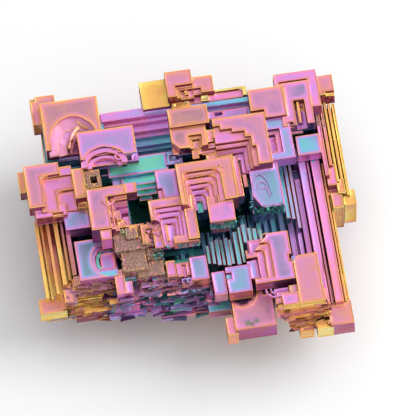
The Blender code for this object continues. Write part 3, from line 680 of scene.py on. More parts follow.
        # Painted shade and light: walls and the low walls of steps are darkened, upward faces and the
        # brighter zones lightened, the darker zones darkened.
        facing = self.region_facing()[numbers]
        opened = opened * np.where(facing[:, 2] > 0.5, self.lit_tops, self.lit_walls)
        opened = np.where(self.low_walls(numbers, facing), opened * self.lit_steps, opened)
        spots = place_in_cluster(read_numbers(mesh.polygons, "center", 3))
        opened = np.minimum(1.0, opened)
        for zone in ZONES:
            lifted = opened * zone.light + max(0.0, zone.light - 1.0) * self.lift
            brighter = np.minimum(self.brightest, lifted)
            opened = np.where(zone.holds(spots), brighter, opened)
        write_attribute(mesh, "open", "CORNER", self.soften(opened, corner_face, corner_vert,
                                                            corner_region))

    @staticmethod
    def soften(values: np.ndarray, corner_face: np.ndarray, corner_vert: np.ndarray,
               corner_region: np.ndarray) -> np.ndarray:
        """Averages the faces' values at each corner over the faces of its region that share it.

        Args:
            values: one number a face.
            corner_face: each corner's face.
            corner_vert: each corner's vertex.
            corner_region: each corner's region.

        Returns:
            One number a corner.
        """
        keys = corner_vert.astype(np.int64) * (corner_region.max() + 1) + corner_region
        _, group = np.unique(keys, return_inverse=True)
        total = np.bincount(group, weights=values[corner_face])
        return (total / np.bincount(group))[group]

    def edge_distance(self, number: int, spots: np.ndarray) -> np.ndarray:
        """Distance from each spot to the edge of its region.

        Args:
            number: the region's number.
            spots: rows of x, y, z.

        Returns:
            One distance a row, in millimetres.
        """
        lines = self.bounds_of[number]
        start, span = lines[:, :3], lines[:, 3:] - lines[:, :3]
        squared = np.maximum((span**2).sum(1), 1e-12)
        offset = spots[:, None, :] - start[None, :, :]
        share = np.clip(np.einsum("ijk,jk->ij", offset, span) / squared, 0.0, 1.0)
        nearest = offset - share[..., None] * span[None, :, :]
        return np.sqrt((nearest**2).sum(2).min(1))

    def grade(self, number: int, away: np.ndarray) -> np.ndarray:
        """How far the film has thickened on the way in from the edge, from 0 to 1.

        Args:
            number: the region's number.
            away: distances from the edge.

        Returns:
            One share a distance.
        """
        least_fade, fade_share = 0.09, 0.42
        width = self.widths[number] or 1.0
        fade = min(self.fade, max(least_fade, width * fade_share))
        return 1.0 - np.exp(-away / fade)

    def finish_of(self, mesh: bpy.types.Mesh, numbers: np.ndarray, opened: np.ndarray,
                  corner_face: np.ndarray, own: np.ndarray) -> tuple[np.ndarray, ...]:
        """Films and dullness at each corner.

        Args:
            mesh: the dressed surface's mesh.
            numbers: each face's region.
            opened: each face's share of the sky.
            corner_face: each corner's face.
            own: each corner's place in the cluster, in millimetres.

        Returns:
            The film at the region's middle, the film at its edge, and the dullness.
        """
        shut, cavity, cavity_swing, under = 0.56, 0.9, 0.1, -0.5
        facing = self.region_facing()[numbers]
        level = np.array([self.seats[number].z if number in self.seats else 0.0
                          for number in range(max(self.seats) + 1)])[numbers]
        spots = place_in_cluster(read_numbers(mesh.polygons, "center", 3))
        flat = np.abs(facing[:, 2]) > 0.9
        spots[:, 2] = np.where(flat, level, spots[:, 2])
        chance = np.random.default_rng(7919).uniform(-1.0, 1.0, max(self.facings) + 1)[numbers]
        weather = Weathering()
        dull = np.where(facing[:, 2] < under, weather.base_dull, weather.dull)[corner_face]
        swing = chance[corner_face]
        middle = weather.film(own) + weather.jitter * swing
        step = np.full(len(middle), weather.rim_step)
        total = np.bincount(numbers, weights=opened, minlength=len(self.facings) + 2)
        usual = (total / np.maximum(1, np.bincount(numbers, minlength=len(total))))[numbers]
        hidden = np.where(facing[:, 2] > under, np.clip((shut - usual) / 0.16, 0.0, 1.0), 0.0)
        hidden = hidden[corner_face]
        middle += (cavity + cavity_swing * swing - middle) * hidden
        step, dull = step + (0.12 - step) * hidden, dull + (0.1 - dull) * hidden
        free = facing[:, 2] > under
        for zone in ZONES:
            taken = free & zone.holds(spots)
            corners = taken[corner_face]
            middle[corners] = zone.film(own[corners]) + zone.jitter * swing[corners]
            step[corners], dull[corners] = 0.2, zone.dull
            free &= ~taken
        film, rim_step, dulled, found = self.facet_finish(spots, facing, chance)
        corners = found[corner_face]
        faces = corner_face[corners]
        middle[corners], step[corners], dull[corners] = film[faces], rim_step[faces], dulled[faces]
        low = (self.low_walls(numbers, facing) & found)[corner_face]
        middle[low], step[low] = np.maximum(middle[low], 0.5), 0.04
        return middle, np.maximum(EDGE_FILM, middle - step), dull

    def low_walls(self, numbers: np.ndarray, facing: np.ndarray) -> np.ndarray:
        """Which faces are the walls of the low steps of a hollow."""
        widths = np.full(max(self.facings) + 1, 9.0)
        for number, width in self.widths.items():
            widths[number] = width
        return (np.abs(facing[:, 2]) < 0.5) & (widths[numbers] < self.step_height)

    def region_facing(self) -> np.ndarray:
        """Direction of each region, by its number; a face of no region faces nowhere."""
        facing = np.zeros((max(self.facings) + 1, 3))
        for number, direction in self.facings.items():
            facing[number] = direction
        return facing

    @staticmethod
    def facet_finish(spots: np.ndarray, facing: np.ndarray,
                     chance: np.ndarray) -> tuple[np.ndarray, ...]:
        """Finish of the faces that belong to a crystal.

        Args:
            spots: each face's place in the cluster.
            facing: the direction of its region.
            chance: its region's random number, from -1 to 1.

        Returns:
            The film, how much thinner the edge's film is, the dullness, and which faces have one.
        """
        slack, top_slack, side_depth, per_depth, deepest = 0.03, 0.16, 4.2, 0.055, 0.97
        inside = spots - facing * 0.08
        side = np.abs(facing[:, 2]) < 0.5
        count = len(spots)
        least = np.full(count, side_depth)
        film, step, dull = np.zeros(count), np.zeros(count), np.zeros(count)
        for facet in FACETS:
            x0, y0, x1, y1 = facet.plan
            drop = facet.top - spots[:, 2]
            near = ((inside[:, 0] > x0 - slack) & (inside[:, 0] < x1 + slack)
                    & (inside[:, 1] > y0 - slack) & (inside[:, 1] < y1 + slack)
                    & (drop >= -top_slack) & (np.abs(drop) < least) & (facing[:, 2] > -0.5))
            least[near] = np.abs(drop[near])
            top = near & ~side & (np.abs(drop) < top_slack)
            kinds = ((top, facet.tint, 0.45, 0.0), (near & ~side & ~top, facet.inner, 0.3, per_depth),
                     (near & side, facet.side, 0.16, per_depth))
            for chosen, tint, rim_step, deeper in kinds:
                grown = tint.film + np.maximum(0.0, drop[chosen] - 0.6) * deeper
                film[chosen] = np.minimum(grown, max(deepest, tint.film)) + 0.02 * chance[chosen]
                step[chosen], dull[chosen] = rim_step, tint.dull
        return film, step, dull, least < side_depth

    def openness(self, mesh: bpy.types.Mesh) -> np.ndarray:
        """How much of the sky each face of the mesh sees, one share a face, from 0 to 1."""
        return np.array([self.sky_share(face.center, face.normal) for face in mesh.polygons])

    def sky_share(self, spot: Vector, facing: Vector) -> float:
        """How much of the sky a spot sees.

        Args:
            spot: where it is, in millimetres.
            facing: the direction that it faces.

        Returns:
            The share of its rays that meet nothing.
        """
        lifted = 0.2
        if not self.fan:
            chance = random.Random(31)
            for _ in range(self.rays):
                turn, lift = chance.uniform(0, math.tau), math.sqrt(chance.uniform(0, 1))
                self.fan.append(Vector((lift * math.cos(turn), lift * math.sin(turn),
                                        math.sqrt(1 - lift * lift))))
        turn = facing.to_track_quat("Z", "Y")
        start = spot + facing * lifted
        hits = sum(self.tree.ray_cast(start, turn @ ray, self.reach)[0] is not None
                   for ray in self.fan)
        return 1.0 - hits / self.rays


def read_numbers(items: bpy.types.bpy_prop_collection, name: str, width: int) -> np.ndarray:
    """A property of every item, in rows where its width is over 1."""
    values = np.empty(len(items) * width)
    items.foreach_get(name, values)
    return values.reshape(-1, width) if width > 1 else values


def write_attribute(mesh: bpy.types.Mesh, name: str, domain: str, values: np.ndarray) -> None:
    """Adds a float attribute to a mesh."""
    made = mesh.attributes.new(name, "FLOAT", domain)
    made.data.foreach_set("value", values.astype(np.float32))


def settle(item: bpy.types.Object, material: bpy.types.Material) -> bpy.types.Object:
    """Turns a finished piece from millimetres into metres, dresses it and lets it ride on the body.

    Args:
        item: the piece, modelled in millimetres.
        material: its finish.

    Returns:
        The same piece.
    """
    item.data.transform(Matrix.Scale(MM, 4))
    points = np.clip(read_numbers(item.data.vertices, "co", 3), CAD_BOX[0], CAD_BOX[1])
    item.data.vertices.foreach_set("co", points.ravel())
    item.data.materials.clear()
    item.data.materials.append(material)
    select_only(item)
    bpy.ops.object.shade_smooth_by_angle(angle=math.radians(28.0))
    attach(item, BODY)
    item.data.calc_loop_triangles()
    LOG.info("%s: %d triangles", item.name, len(item.data.loop_triangles))
    return item


class NodeTable:
    """Adds and links shader nodes in one tree."""

    def __init__(self, tree: bpy.types.NodeTree) -> None:
        """Keeps the tree and starts its layout."""
        self.tree = tree
        self.column = 0

    def add(self, kind: str, settings: dict | None = None, **inputs: object) -> bpy.types.Node:
        """Adds a node, sets its properties and fills its inputs.

        Args:
            kind: the node's type name.
            settings: its properties.
            inputs: values or sockets by input name, with _ for a space, or i0, i1 by number.

        Returns:
            The node.
        """
        node = self.tree.nodes.new(kind)
        node.location = (self.column * 180.0, 0.0)
        self.column += 1
        for name, value in (settings or {}).items():
            setattr(node, name, value)
        for name, value in inputs.items():
            by_number = name[0] == "i" and name[1:].isdigit()
            socket = node.inputs[int(name[1:]) if by_number else name.replace("_", " ")]
            if isinstance(value, bpy.types.NodeSocket):
                self.tree.links.new(value, socket)
            else:
                socket.default_value = value
        return node

    def math(self, operation: str, *values: object, clamp: bool = False) -> bpy.types.NodeSocket:
        """Output of a Math node."""
        inputs = {f"i{index}": value for index, value in enumerate(values)}
        settings = {"operation": operation, "use_clamp": clamp}
        return self.add("ShaderNodeMath", settings, **inputs).outputs[0]

    def mix(self, share: object, first: object, second: object,
            blend: str = "MIX") -> bpy.types.NodeSocket:
        """Output of a colour mix."""
        settings = {"data_type": "RGBA", "blend_type": blend, "clamp_result": False}
        node = self.add("ShaderNodeMix", settings, i0=share, i6=first, i7=second)
        return node.outputs[2]


# Oxide colours from the thinnest film to the thickest: position, red, green, blue (linear)
OXIDE_COLOURS = (
    (0.00, 0.672, 0.631, 0.456),
    (0.08, 0.855, 0.730, 0.287),
    (0.16, 0.922, 0.658, 0.150),
    (0.23, 0.930, 0.503, 0.127),
    (0.30, 0.896, 0.371, 0.162),
    (0.38, 0.807, 0.305, 0.262),
    (0.46, 0.823, 0.279, 0.413),
    (0.54, 0.855, 0.270, 0.658),
    (0.62, 0.658, 0.287, 0.745),
    (0.70, 0.503, 0.342, 0.761),
    (0.78, 0.342, 0.402, 0.745),
    (0.86, 0.216, 0.539, 0.761),
    (0.93, 0.162, 0.631, 0.617),
    (1.00, 0.188, 0.687, 0.445),
)
@dataclass(frozen=True)
class Fleck:
    """A ragged spot of another oxide."""

    centre: tuple[float, float, float]      # in the cluster's own millimetres
    radius: float                           # mm
    colour: tuple[float, float, float, float]
    strength: float = 0.75

    def lay(self, table: NodeTable, place: bpy.types.NodeSocket, grain: bpy.types.NodeSocket,
            under: bpy.types.NodeSocket) -> bpy.types.NodeSocket:
        """Lays the spot over a colour.

        Args:
            table: where its nodes go.
            place: the Object coordinates.
            grain: noise that makes its edge ragged.
            under: the colour beneath.

        Returns:
            The colour with the spot.
        """
        x, y, z = self.centre
        spot = ((x + SHIFT[0]) * MM, (y + SHIFT[1]) * MM, z * MM)
        away = table.add("ShaderNodeVectorMath", {"operation": "DISTANCE"}, i0=place,
                         i1=spot).outputs["Value"]
        ragged = table.math("ADD", away, table.math("MULTIPLY", grain, self.radius * MM * 1.6))
        mask = table.add("ShaderNodeMapRange", None, Value=ragged,
                         From_Min=self.radius * MM * 1.25, From_Max=self.radius * MM * 2.0,
                         To_Min=self.strength, To_Max=0.0).outputs[0]
        return table.mix(mask, under, self.colour)


FLECKS = (
    Fleck((7.2, -26.0, 16.1), 0.7, (0.14, 0.24, 0.10, 1.0)),
    Fleck((8.9, -25.7, 16.1), 0.6, (0.16, 0.26, 0.12, 1.0)),
    Fleck((8.0, -26.3, 16.1), 0.5, (0.10, 0.16, 0.08, 1.0)),
    Fleck((-13.9, -5.8, 21.6), 0.9, (0.36, 0.56, 0.22, 1.0)),
    Fleck((16.4, -21.4, 19.0), 0.7, (0.75, 0.60, 0.16, 1.0), 0.6),
    Fleck((-19.6, 0.6, 20.0), 0.7, (0.80, 0.66, 0.10, 1.0), 0.8),
)
EDGE_FILM = 0.17            # film on the very edge of every face


@dataclass(frozen=True)
class OxideFilm:
    """The shader group that turns a film's thickness into its colour, and paints shade where a face
    sees little sky.
    """

    patch_scale: float = 260.0      # per metre
    patch_swing: float = 0.17
    grain_scale: float = 2400.0
    grain_swing: float = 0.05
    dull_start: float = 0.2        # mm in from the edge
    dull_end: float = 1.2
    metallic: float = 0.62
    least_metallic: float = 0.05    # in the zones whose painted light is raised past 1, deep in the cluster

    def build(self) -> bpy.types.NodeTree:
        """Makes the group.

        Returns:
            Its tree, with Colour, Soot and Grain outputs.
        """
        tree = bpy.data.node_groups.new("oxide_film", "ShaderNodeTree")
        face = tree.interface
        for name in ("Film", "Dull", "Inset", "Open"):
            face.new_socket(name, in_out="INPUT", socket_type="NodeSocketFloat")
        face.new_socket("Place", in_out="INPUT", socket_type="NodeSocketVector")
        face.new_socket("Colour", in_out="OUTPUT", socket_type="NodeSocketColor")
        face.new_socket("Roughness", in_out="OUTPUT", socket_type="NodeSocketFloat")
        face.new_socket("Metallic", in_out="OUTPUT", socket_type="NodeSocketFloat")
        face.new_socket("Height", in_out="OUTPUT", socket_type="NodeSocketFloat")
        table = NodeTable(tree)
        given = table.add("NodeGroupInput").outputs
        patches = table.add("ShaderNodeTexNoise", None, Vector=given["Place"],
                            Scale=self.patch_scale, Detail=4.0, Roughness=0.6).outputs[0]
        grain = table.add("ShaderNodeTexNoise", None, Vector=given["Place"],
                          Scale=self.grain_scale, Detail=3.0, Roughness=0.65).outputs[0]
        swing = table.math("MULTIPLY", table.math("SUBTRACT", patches, 0.5), self.patch_swing * 2)
        speck = table.math("MULTIPLY", table.math("SUBTRACT", grain, 0.5), self.grain_swing * 2)
        film = table.math("ADD", given["Film"], table.math("ADD", swing, speck), clamp=True)
        colour = self.ramp(table, film)
        depth = table.add("ShaderNodeMapRange", {"interpolation_type": "SMOOTHSTEP"},
                          Value=given["Inset"], From_Min=self.dull_start,
                          From_Max=self.dull_end).outputs[0]
        mottle = table.math("ADD", table.math("MULTIPLY", patches, 1.3), 0.2)
        dulled = table.math("MULTIPLY", table.math("MULTIPLY", given["Dull"], depth), mottle,
                            clamp=True)
        grey = table.add("ShaderNodeHueSaturation", None, Saturation=0.72, Value=0.56,
                         Color=colour).outputs[0]
        colour = table.mix(dulled, colour, grey)
        # Painted shade: the less sky a face sees, the more its colour below is squared and darkened.
        lit = table.add("ShaderNodeMapRange", {"interpolation_type": "SMOOTHSTEP"},
                        Value=given["Open"], From_Min=0.1, From_Max=0.72).outputs[0]
        for fleck in FLECKS:
            colour = fleck.lay(table, given["Place"], grain, colour)
        shaded_colour = table.mix(1.0, colour, colour, "MULTIPLY")
        shaded_colour = table.mix(1.0, shaded_colour, (0.3, 0.3, 0.3, 1.0), "MULTIPLY")
        colour = table.mix(lit, shaded_colour, colour)
        rough = table.math("ADD", table.math("MULTIPLY", patches, 0.16),
                           table.math("MULTIPLY", dulled, 0.42))
        rough = table.math("ADD", rough, 0.2)
        metal = table.add("ShaderNodeMapRange", None, Value=given["Open"], From_Min=1.0,
                          From_Max=2.0, To_Min=self.metallic, To_Max=self.least_metallic)
        table.add("NodeGroupOutput", None, Colour=colour, Roughness=rough,
                  Metallic=metal.outputs[0], Height=grain)
        return tree

    @staticmethod
    def ramp(table: NodeTable, film: bpy.types.NodeSocket) -> bpy.types.NodeSocket:
        """Colour of each film thickness."""
        node = table.add("ShaderNodeValToRGB", None, Fac=film)
        stops = node.color_ramp.elements
        for index, (place, *colour) in enumerate(OXIDE_COLOURS):
            if index < 2:
                stop = stops[index]
                stop.position = place
            else:
                stop = stops.new(place)
            stop.color = (*colour, 1.0)
        return node.outputs[0]


@dataclass(frozen=True)
class BismuthFinish:
    """Satin bismuth under its oxide film."""

    name: str = "bismuth_oxide"
    bump: float = 0.25
    wash: tuple[float, float, float, float] = (0.0, 0.0, 0.0, 1.0)     # laid over the film
    wash_share: float = 0.0

    def material(self, film: bpy.types.NodeTree) -> bpy.types.Material:
        """Makes the material.

        Args:
            film: the oxide film's group.

        Returns:
            The material.
        """
        material = bpy.data.materials.new(self.name)
        material.use_nodes = True
        tree = material.node_tree
        shader = tree.nodes["Principled BSDF"]
        table = NodeTable(tree)
        # The last attribute carries the painted shade and painted light.
        read = {name: self.attribute(table, name) for name in ("film", "dull", "inset", "open")}
        place = table.add("ShaderNodeTexCoord").outputs["Object"]
        group = table.add("ShaderNodeGroup", {"node_tree": film}, Film=read["film"],
                          Dull=read["dull"], Inset=read["inset"], Open=read["open"], Place=place)
        bump = table.add("ShaderNodeBump", None, Strength=self.bump, Distance=0.00004,
                         Height=group.outputs["Height"])
        colour = group.outputs["Colour"]
        if self.wash_share:
            colour = table.mix(self.wash_share, colour, self.wash)
        tree.links.new(colour, shader.inputs["Base Color"])
        tree.links.new(group.outputs["Roughness"], shader.inputs["Roughness"])
        tree.links.new(bump.outputs[0], shader.inputs["Normal"])
        tree.links.new(group.outputs["Metallic"], shader.inputs["Metallic"])
        return material

    @staticmethod
    def attribute(table: NodeTable, name: str) -> bpy.types.NodeSocket:
        """The factor of a mesh attribute."""
        return table.add("ShaderNodeAttribute", {"attribute_name": name}).outputs["Fac"]


@dataclass(frozen=True)
class Patch:
    """Where copies of a small piece are set, and the finish that they take."""

    low: tuple[float, float, float]     # corners of a box in the cluster's own millimetres
    high: tuple[float, float, float]
    count: int
    size: tuple[float, float]           # least and greatest scale
    film: tuple[float, float]           # least and greatest film
    dull: float = 0.9
    shade: float = 0.0                  # how much of the light the spot loses
    turn: tuple[float, float] = (0.0, 360.0)
    lean: float = 14.0                  # degrees
    sink: float = 0.1                   # how deep a copy sits in the surface, mm


@dataclass
class SmallPiece:
    """A small shape that is modelled once and set many times, each copy with its own mesh."""

    name: str
    seed: int
    patches: tuple[Patch, ...] = ()
    stand: float = 0.0          # 1 turns the copies' own top to the surface's direction, 0 to the sky
    rim_film: float = 0.0       # how much thinner the film is on everything but the broadest top

    def model(self) -> bpy.types.Object:
        """Makes the shape, about a millimetre across; each kind of piece has its own."""
        raise NotImplementedError

    def build(self, shell: GrowthShell) -> bpy.types.Object:
        """Sets the copies on the cluster and joins them.

        Args:
            shell: the cluster's surface.

        Returns:
            The joined piece, in millimetres, with its attributes written.
        """
        pattern = self.model()
        chance = random.Random(self.seed)
        copies = []
        for patch in self.patches:
            for spot, facing in self.spots(shell, patch, chance):
                place = self.place(patch, spot, facing, chance)
                film = chance.uniform(*patch.film)
                shade = chance.uniform(max(0.0, patch.shade * 2 - 1), min(1.0, patch.shade * 2))
                copies.append(self.copy(pattern, place, film, patch.dull, shade))
        return self.join(pattern, copies, shell)

    def copy(self, pattern: bpy.types.Object, place: Matrix, film: float, dull: float,
             shade: float) -> bpy.types.Object:
        """A copy of the shape with its own mesh.

        Args:
            pattern: the shape.
            place: where the copy goes, in the frame's millimetres.
            film: its film.
            dull: its dullness.
            shade: how much of the light it loses.

        Returns:
            The copy.
        """
        mesh = pattern.data.copy()
        tops = [face.area if face.normal.z > 0.8 else 0.0 for face in mesh.polygons]
        broad = max(tops) * 0.5
        totals = read_numbers(mesh.polygons, "loop_total", 1).astype(int)
        films = np.where(np.array(tops) > max(broad, 1e-6), film, film - self.rim_film)
        mesh.transform(place)
        if place.determinant() < 0:
            mesh.flip_normals()
        write_attribute(mesh, "film", "CORNER", np.repeat(films, totals))
        write_attribute(mesh, "dull", "CORNER", np.full(len(mesh.loops), dull))
        write_attribute(mesh, "inset", "POINT", np.full(len(mesh.vertices), 3.0))
        # Painted shade: the copy is darkened by the share of light that it loses.
        write_attribute(mesh, "open", "FACE", np.full(len(mesh.polygons), 1.0 - shade))
        item = bpy.data.objects.new(self.name, mesh)
        bpy.context.scene.collection.objects.link(item)
        return item

    def join(self, pattern: bpy.types.Object, copies: list[bpy.types.Object],
             shell: GrowthShell) -> bpy.types.Object:
        """Joins the copies, and shades each face by how much sky it sees.

        Args:
            pattern: the shape, which is removed.
            copies: what to join.
            shell: the cluster's surface.

        Returns:
            The joined piece.
        """
        bpy.data.objects.remove(pattern)
        item = copies[0]
        select_only(item)
        for other in copies:
            other.select_set(True)
        bpy.ops.object.join()
        item.name = self.name
        mesh = item.data
        # Painted shade: each face is darkened by how little sky it sees.
        light = read_numbers(mesh.attributes["open"].data, "value", 1)
        light *= np.minimum(1.0, shell.openness(mesh) * shell.lit_tops)
        mesh.attributes["open"].data.foreach_set("value", light)
        return item

    def spots(self, shell: GrowthShell, patch: Patch,
              chance: random.Random) -> list[tuple[Vector, Vector]]:
        """Places on the cluster that face the sky or the front, inside the patch.

        Args:
            shell: the cluster's surface.
            patch: where to look.
            chance: the source of the draws.

        Returns:
            Places and directions of the surface, in the frame's millimetres.
        """
        sight, reach, tries = Vector((0.03, 0.42, -0.91)).normalized(), 40.0, 6
        found = []
        for _ in range(patch.count * tries):
            if len(found) == patch.count:
                break
            aim = Vector([chance.uniform(a, b) for a, b in zip(patch.low, patch.high)])
            aim += Vector((*SHIFT, 0.0))
            spot, facing, _, _ = shell.tree.ray_cast(aim - sight * reach, sight, reach * 2)
            if spot is None:
                continue
            own = spot - Vector((*SHIFT, 0.0))
            if all(a <= p <= b for a, p, b in zip(patch.low, own, patch.high)):
                found.append((spot, facing))
        return found

    def place(self, patch: Patch, spot: Vector, facing: Vector, chance: random.Random) -> Matrix:
        """Turns, leans, scales and sinks one copy.

        Args:
            patch: its limits.
            spot: where it goes.
            facing: the surface's direction there.
            chance: the source of the draws.

        Returns:
            The copy's place.
        """
        up = Vector((0.0, 0.0, 1.0)).lerp(facing, self.stand).normalized()
        stand = up.to_track_quat("Z", "Y").to_matrix().to_4x4()
        turn = Matrix.Rotation(math.radians(chance.uniform(*patch.turn)), 4, "Z")
        lean = Matrix.Rotation(math.radians(chance.uniform(-patch.lean, patch.lean)), 4, "X")
        roll = Matrix.Rotation(math.radians(chance.uniform(-patch.lean, patch.lean)), 4, "Y")
        size = Matrix.Scale(chance.uniform(*patch.size), 4)
        return Matrix.Translation(spot - facing * patch.sink) @ stand @ turn @ lean @ roll @ size


def start_shape() -> None:
    """Deselects everything before a primitive is added."""
    bpy.ops.object.select_all(action="DESELECT")


def edit_all() -> None:
    """Enters edit mode with the whole of the active piece selected."""
    bpy.ops.object.mode_set(mode="EDIT")
    bpy.ops.mesh.select_all(action="SELECT")


def close_shape() -> bpy.types.Object:
    """Turns the faces of the shape in edit mode outwards and leaves edit mode.

    Returns:
        The shape.
    """
    bpy.ops.mesh.select_all(action="SELECT")
    bpy.ops.mesh.remove_doubles(threshold=0.0005)
    bpy.ops.mesh.normals_make_consistent(inside=False)
    bpy.ops.object.mode_set(mode="OBJECT")
    return bpy.context.object


@dataclass
class Grains(SmallPiece):
    """Rough rounded grains that crust the lump between the crystals."""

    rough: float = 0.16

    def model(self) -> bpy.types.Object:
        """A lumpy grain with a cut-off foot."""
        start_shape()
        bpy.ops.mesh.primitive_ico_sphere_add(subdivisions=1, radius=0.5)
        edit_all()
        bpy.ops.transform.vertex_random(offset=self.rough, seed=self.seed)
        bpy.ops.mesh.bisect(plane_co=(0.0, 0.0, -0.25), plane_no=(0.0, 0.0, 1.0), use_fill=True,
                            clear_inner=True)
        return close_shape()


@dataclass
class Flakes(SmallPiece):
    """Thin ragged flakes that stick out of the broken layers."""

    plan: tuple[float, float, float] = (1.7, 0.9, 0.16)

    def model(self) -> bpy.types.Object:
        """A thin slab with torn sides and one end broken off at a slant."""
        start_shape()
        bpy.ops.mesh.primitive_cube_add(size=1.0)
        edit_all()
        bpy.ops.transform.resize(value=self.plan, center_override=(0.0, 0.0, 0.0))
        bpy.ops.mesh.subdivide(number_cuts=2)
        bpy.ops.transform.vertex_random(offset=0.07, seed=self.seed)
        bpy.ops.transform.resize(value=(1.0, 1.0, 0.75), center_override=(0.0, 0.0, 0.0))
        bpy.ops.mesh.select_all(action="SELECT")
        bpy.ops.mesh.bisect(plane_co=(0.62, 0.0, 0.0), plane_no=(-0.9, 0.4, 0.1), use_fill=True,
                            clear_inner=True)
        return close_shape()


@dataclass
class Chevrons(SmallPiece):
    """Slivers with a bend in the middle, broken out of a staircase."""

    arm: float = 1.5
    width: float = 0.34

    def model(self) -> bpy.types.Object:
        """Two arms at a right angle, with a raised rim."""
        start_shape()
        bpy.ops.mesh.primitive_cube_add(size=1.0)
        edit_all()
        bpy.ops.transform.resize(value=(self.width, self.width, 0.3),
                                 center_override=(0.0, 0.0, 0.0))
        for axis in (0, 1):
            bm = bmesh.from_edit_mesh(bpy.context.object.data)
            pick_faces(bm, {face.index for face in bm.faces if face.normal[axis] > 0.9
                            and max(vert.co[1 - axis] for vert in face.verts) < self.width})
            bmesh.update_edit_mesh(bpy.context.object.data)
            out = [0.0, 0.0, 0.0]
            out[axis] = self.arm
            bpy.ops.mesh.extrude_region_move(TRANSFORM_OT_translate={"value": out})
        bm = bmesh.from_edit_mesh(bpy.context.object.data)
        pick_faces(bm, {face.index for face in bm.faces if face.normal.z > 0.9})
        bmesh.update_edit_mesh(bpy.context.object.data)
        bpy.ops.mesh.inset(thickness=0.06, depth=-0.04)
        bpy.ops.mesh.select_all(action="SELECT")
        bpy.ops.transform.vertex_random(offset=0.03, seed=self.seed)
        return close_shape()


@dataclass
class Spikes(SmallPiece):
    """Ragged fringe that hangs below the crystals over the pit, darkened as painted shade."""

    length: float = 1.6

    def model(self) -> bpy.types.Object:
        """A thin broken wedge that hangs down from its foot."""
        start_shape()
        bpy.ops.mesh.primitive_cone_add(vertices=6, radius1=0.17, radius2=0.02,
                                        depth=self.length, rotation=(math.pi, 0.0, 0.0))
        bpy.ops.object.transform_apply(rotation=True)
        edit_all()
        bpy.ops.transform.resize(value=(1.5, 0.6, 1.0), center_override=(0.0, 0.0, 0.0))
        bpy.ops.mesh.bisect(plane_co=(0.0, 0.0, -self.length * 0.1), plane_no=(0.1, 0.0, 1.0))
        bpy.ops.mesh.select_all(action="SELECT")
        bpy.ops.transform.vertex_random(offset=0.06, seed=self.seed)
        return close_shape()


@dataclass(frozen=True)
class Bend:
    """A concave corner that is rounded."""

    corner: tuple[float, float]
    floor: float
    level: float            # of the tread above
    radius: float
    toward: tuple[int, int]     # from the corner into the hollow, by x and y
    film: float = 0.5


@dataclass
class RoundedBends(SmallPiece):
    """Fillets that round the corners of the treads."""

    bends: tuple[Bend, ...] = ()
    lowered: float = 0.02       # below the tread above, mm

    def model(self) -> bpy.types.Object:
        """A unit corner block whose front is a quarter circle, with a rim along its top."""
        start_shape()
        bpy.ops.mesh.primitive_cylinder_add(vertices=32, radius=1.0, depth=3.0,
                                            location=(1.0, 1.0, 0.5))
        cutter = bpy.context.object
        start_shape()
        bpy.ops.mesh.primitive_cube_add(size=1.0, location=(0.5, 0.5, 0.5))
        item = bpy.context.object
        bpy.ops.object.transform_apply(location=True)
        cut = item.modifiers.new("quarter", "BOOLEAN")
        cut.operation, cut.object, cut.solver = "DIFFERENCE", cutter, "EXACT"
        bpy.ops.object.modifier_apply(modifier=cut.name)
        bpy.data.objects.remove(cutter)
        select_only(item)
        edit_all()
        bm = bmesh.from_edit_mesh(item.data)
        pick_faces(bm, {face.index for face in bm.faces if face.normal.z > 0.9})
        bmesh.update_edit_mesh(item.data)
        bpy.ops.mesh.inset(thickness=0.08, depth=-0.04)
        return close_shape()

    def build(self, shell: GrowthShell) -> bpy.types.Object:
        """Sets a fillet in every corner and joins them.

        Args:
            shell: the cluster's surface.

        Returns:
            The joined piece, in millimetres.
        """
        pattern = self.model()
        copies = []
        for bend in self.bends:
            height = bend.level - self.lowered - bend.floor
            size = Matrix.Diagonal((bend.radius * bend.toward[0], bend.radius * bend.toward[1],
                                    height, 1.0))
            x, y = bend.corner[0] + SHIFT[0], bend.corner[1] + SHIFT[1]
            place = Matrix.Translation((x - 0.02 * bend.toward[0], y - 0.02 * bend.toward[1],
                                        bend.floor)) @ size
            copies.append(self.copy(pattern, place, bend.film, 0.2, 0.0))
        return self.join(pattern, copies, shell)


@dataclass(frozen=True)
class Arc:
    """One curved ledge."""

    centre: tuple[float, float]
    level: float                # its top
    height: float
    inner: tuple[float, float]  # half axes of its inner curve
    width: float
    start: float                # degrees, anticlockwise from +x
    sweep: float
    film: float
    rough: float = 0.07
    dull: float = 0.2
    drop: float = 0.0           # how much lower its inner edge is, mm


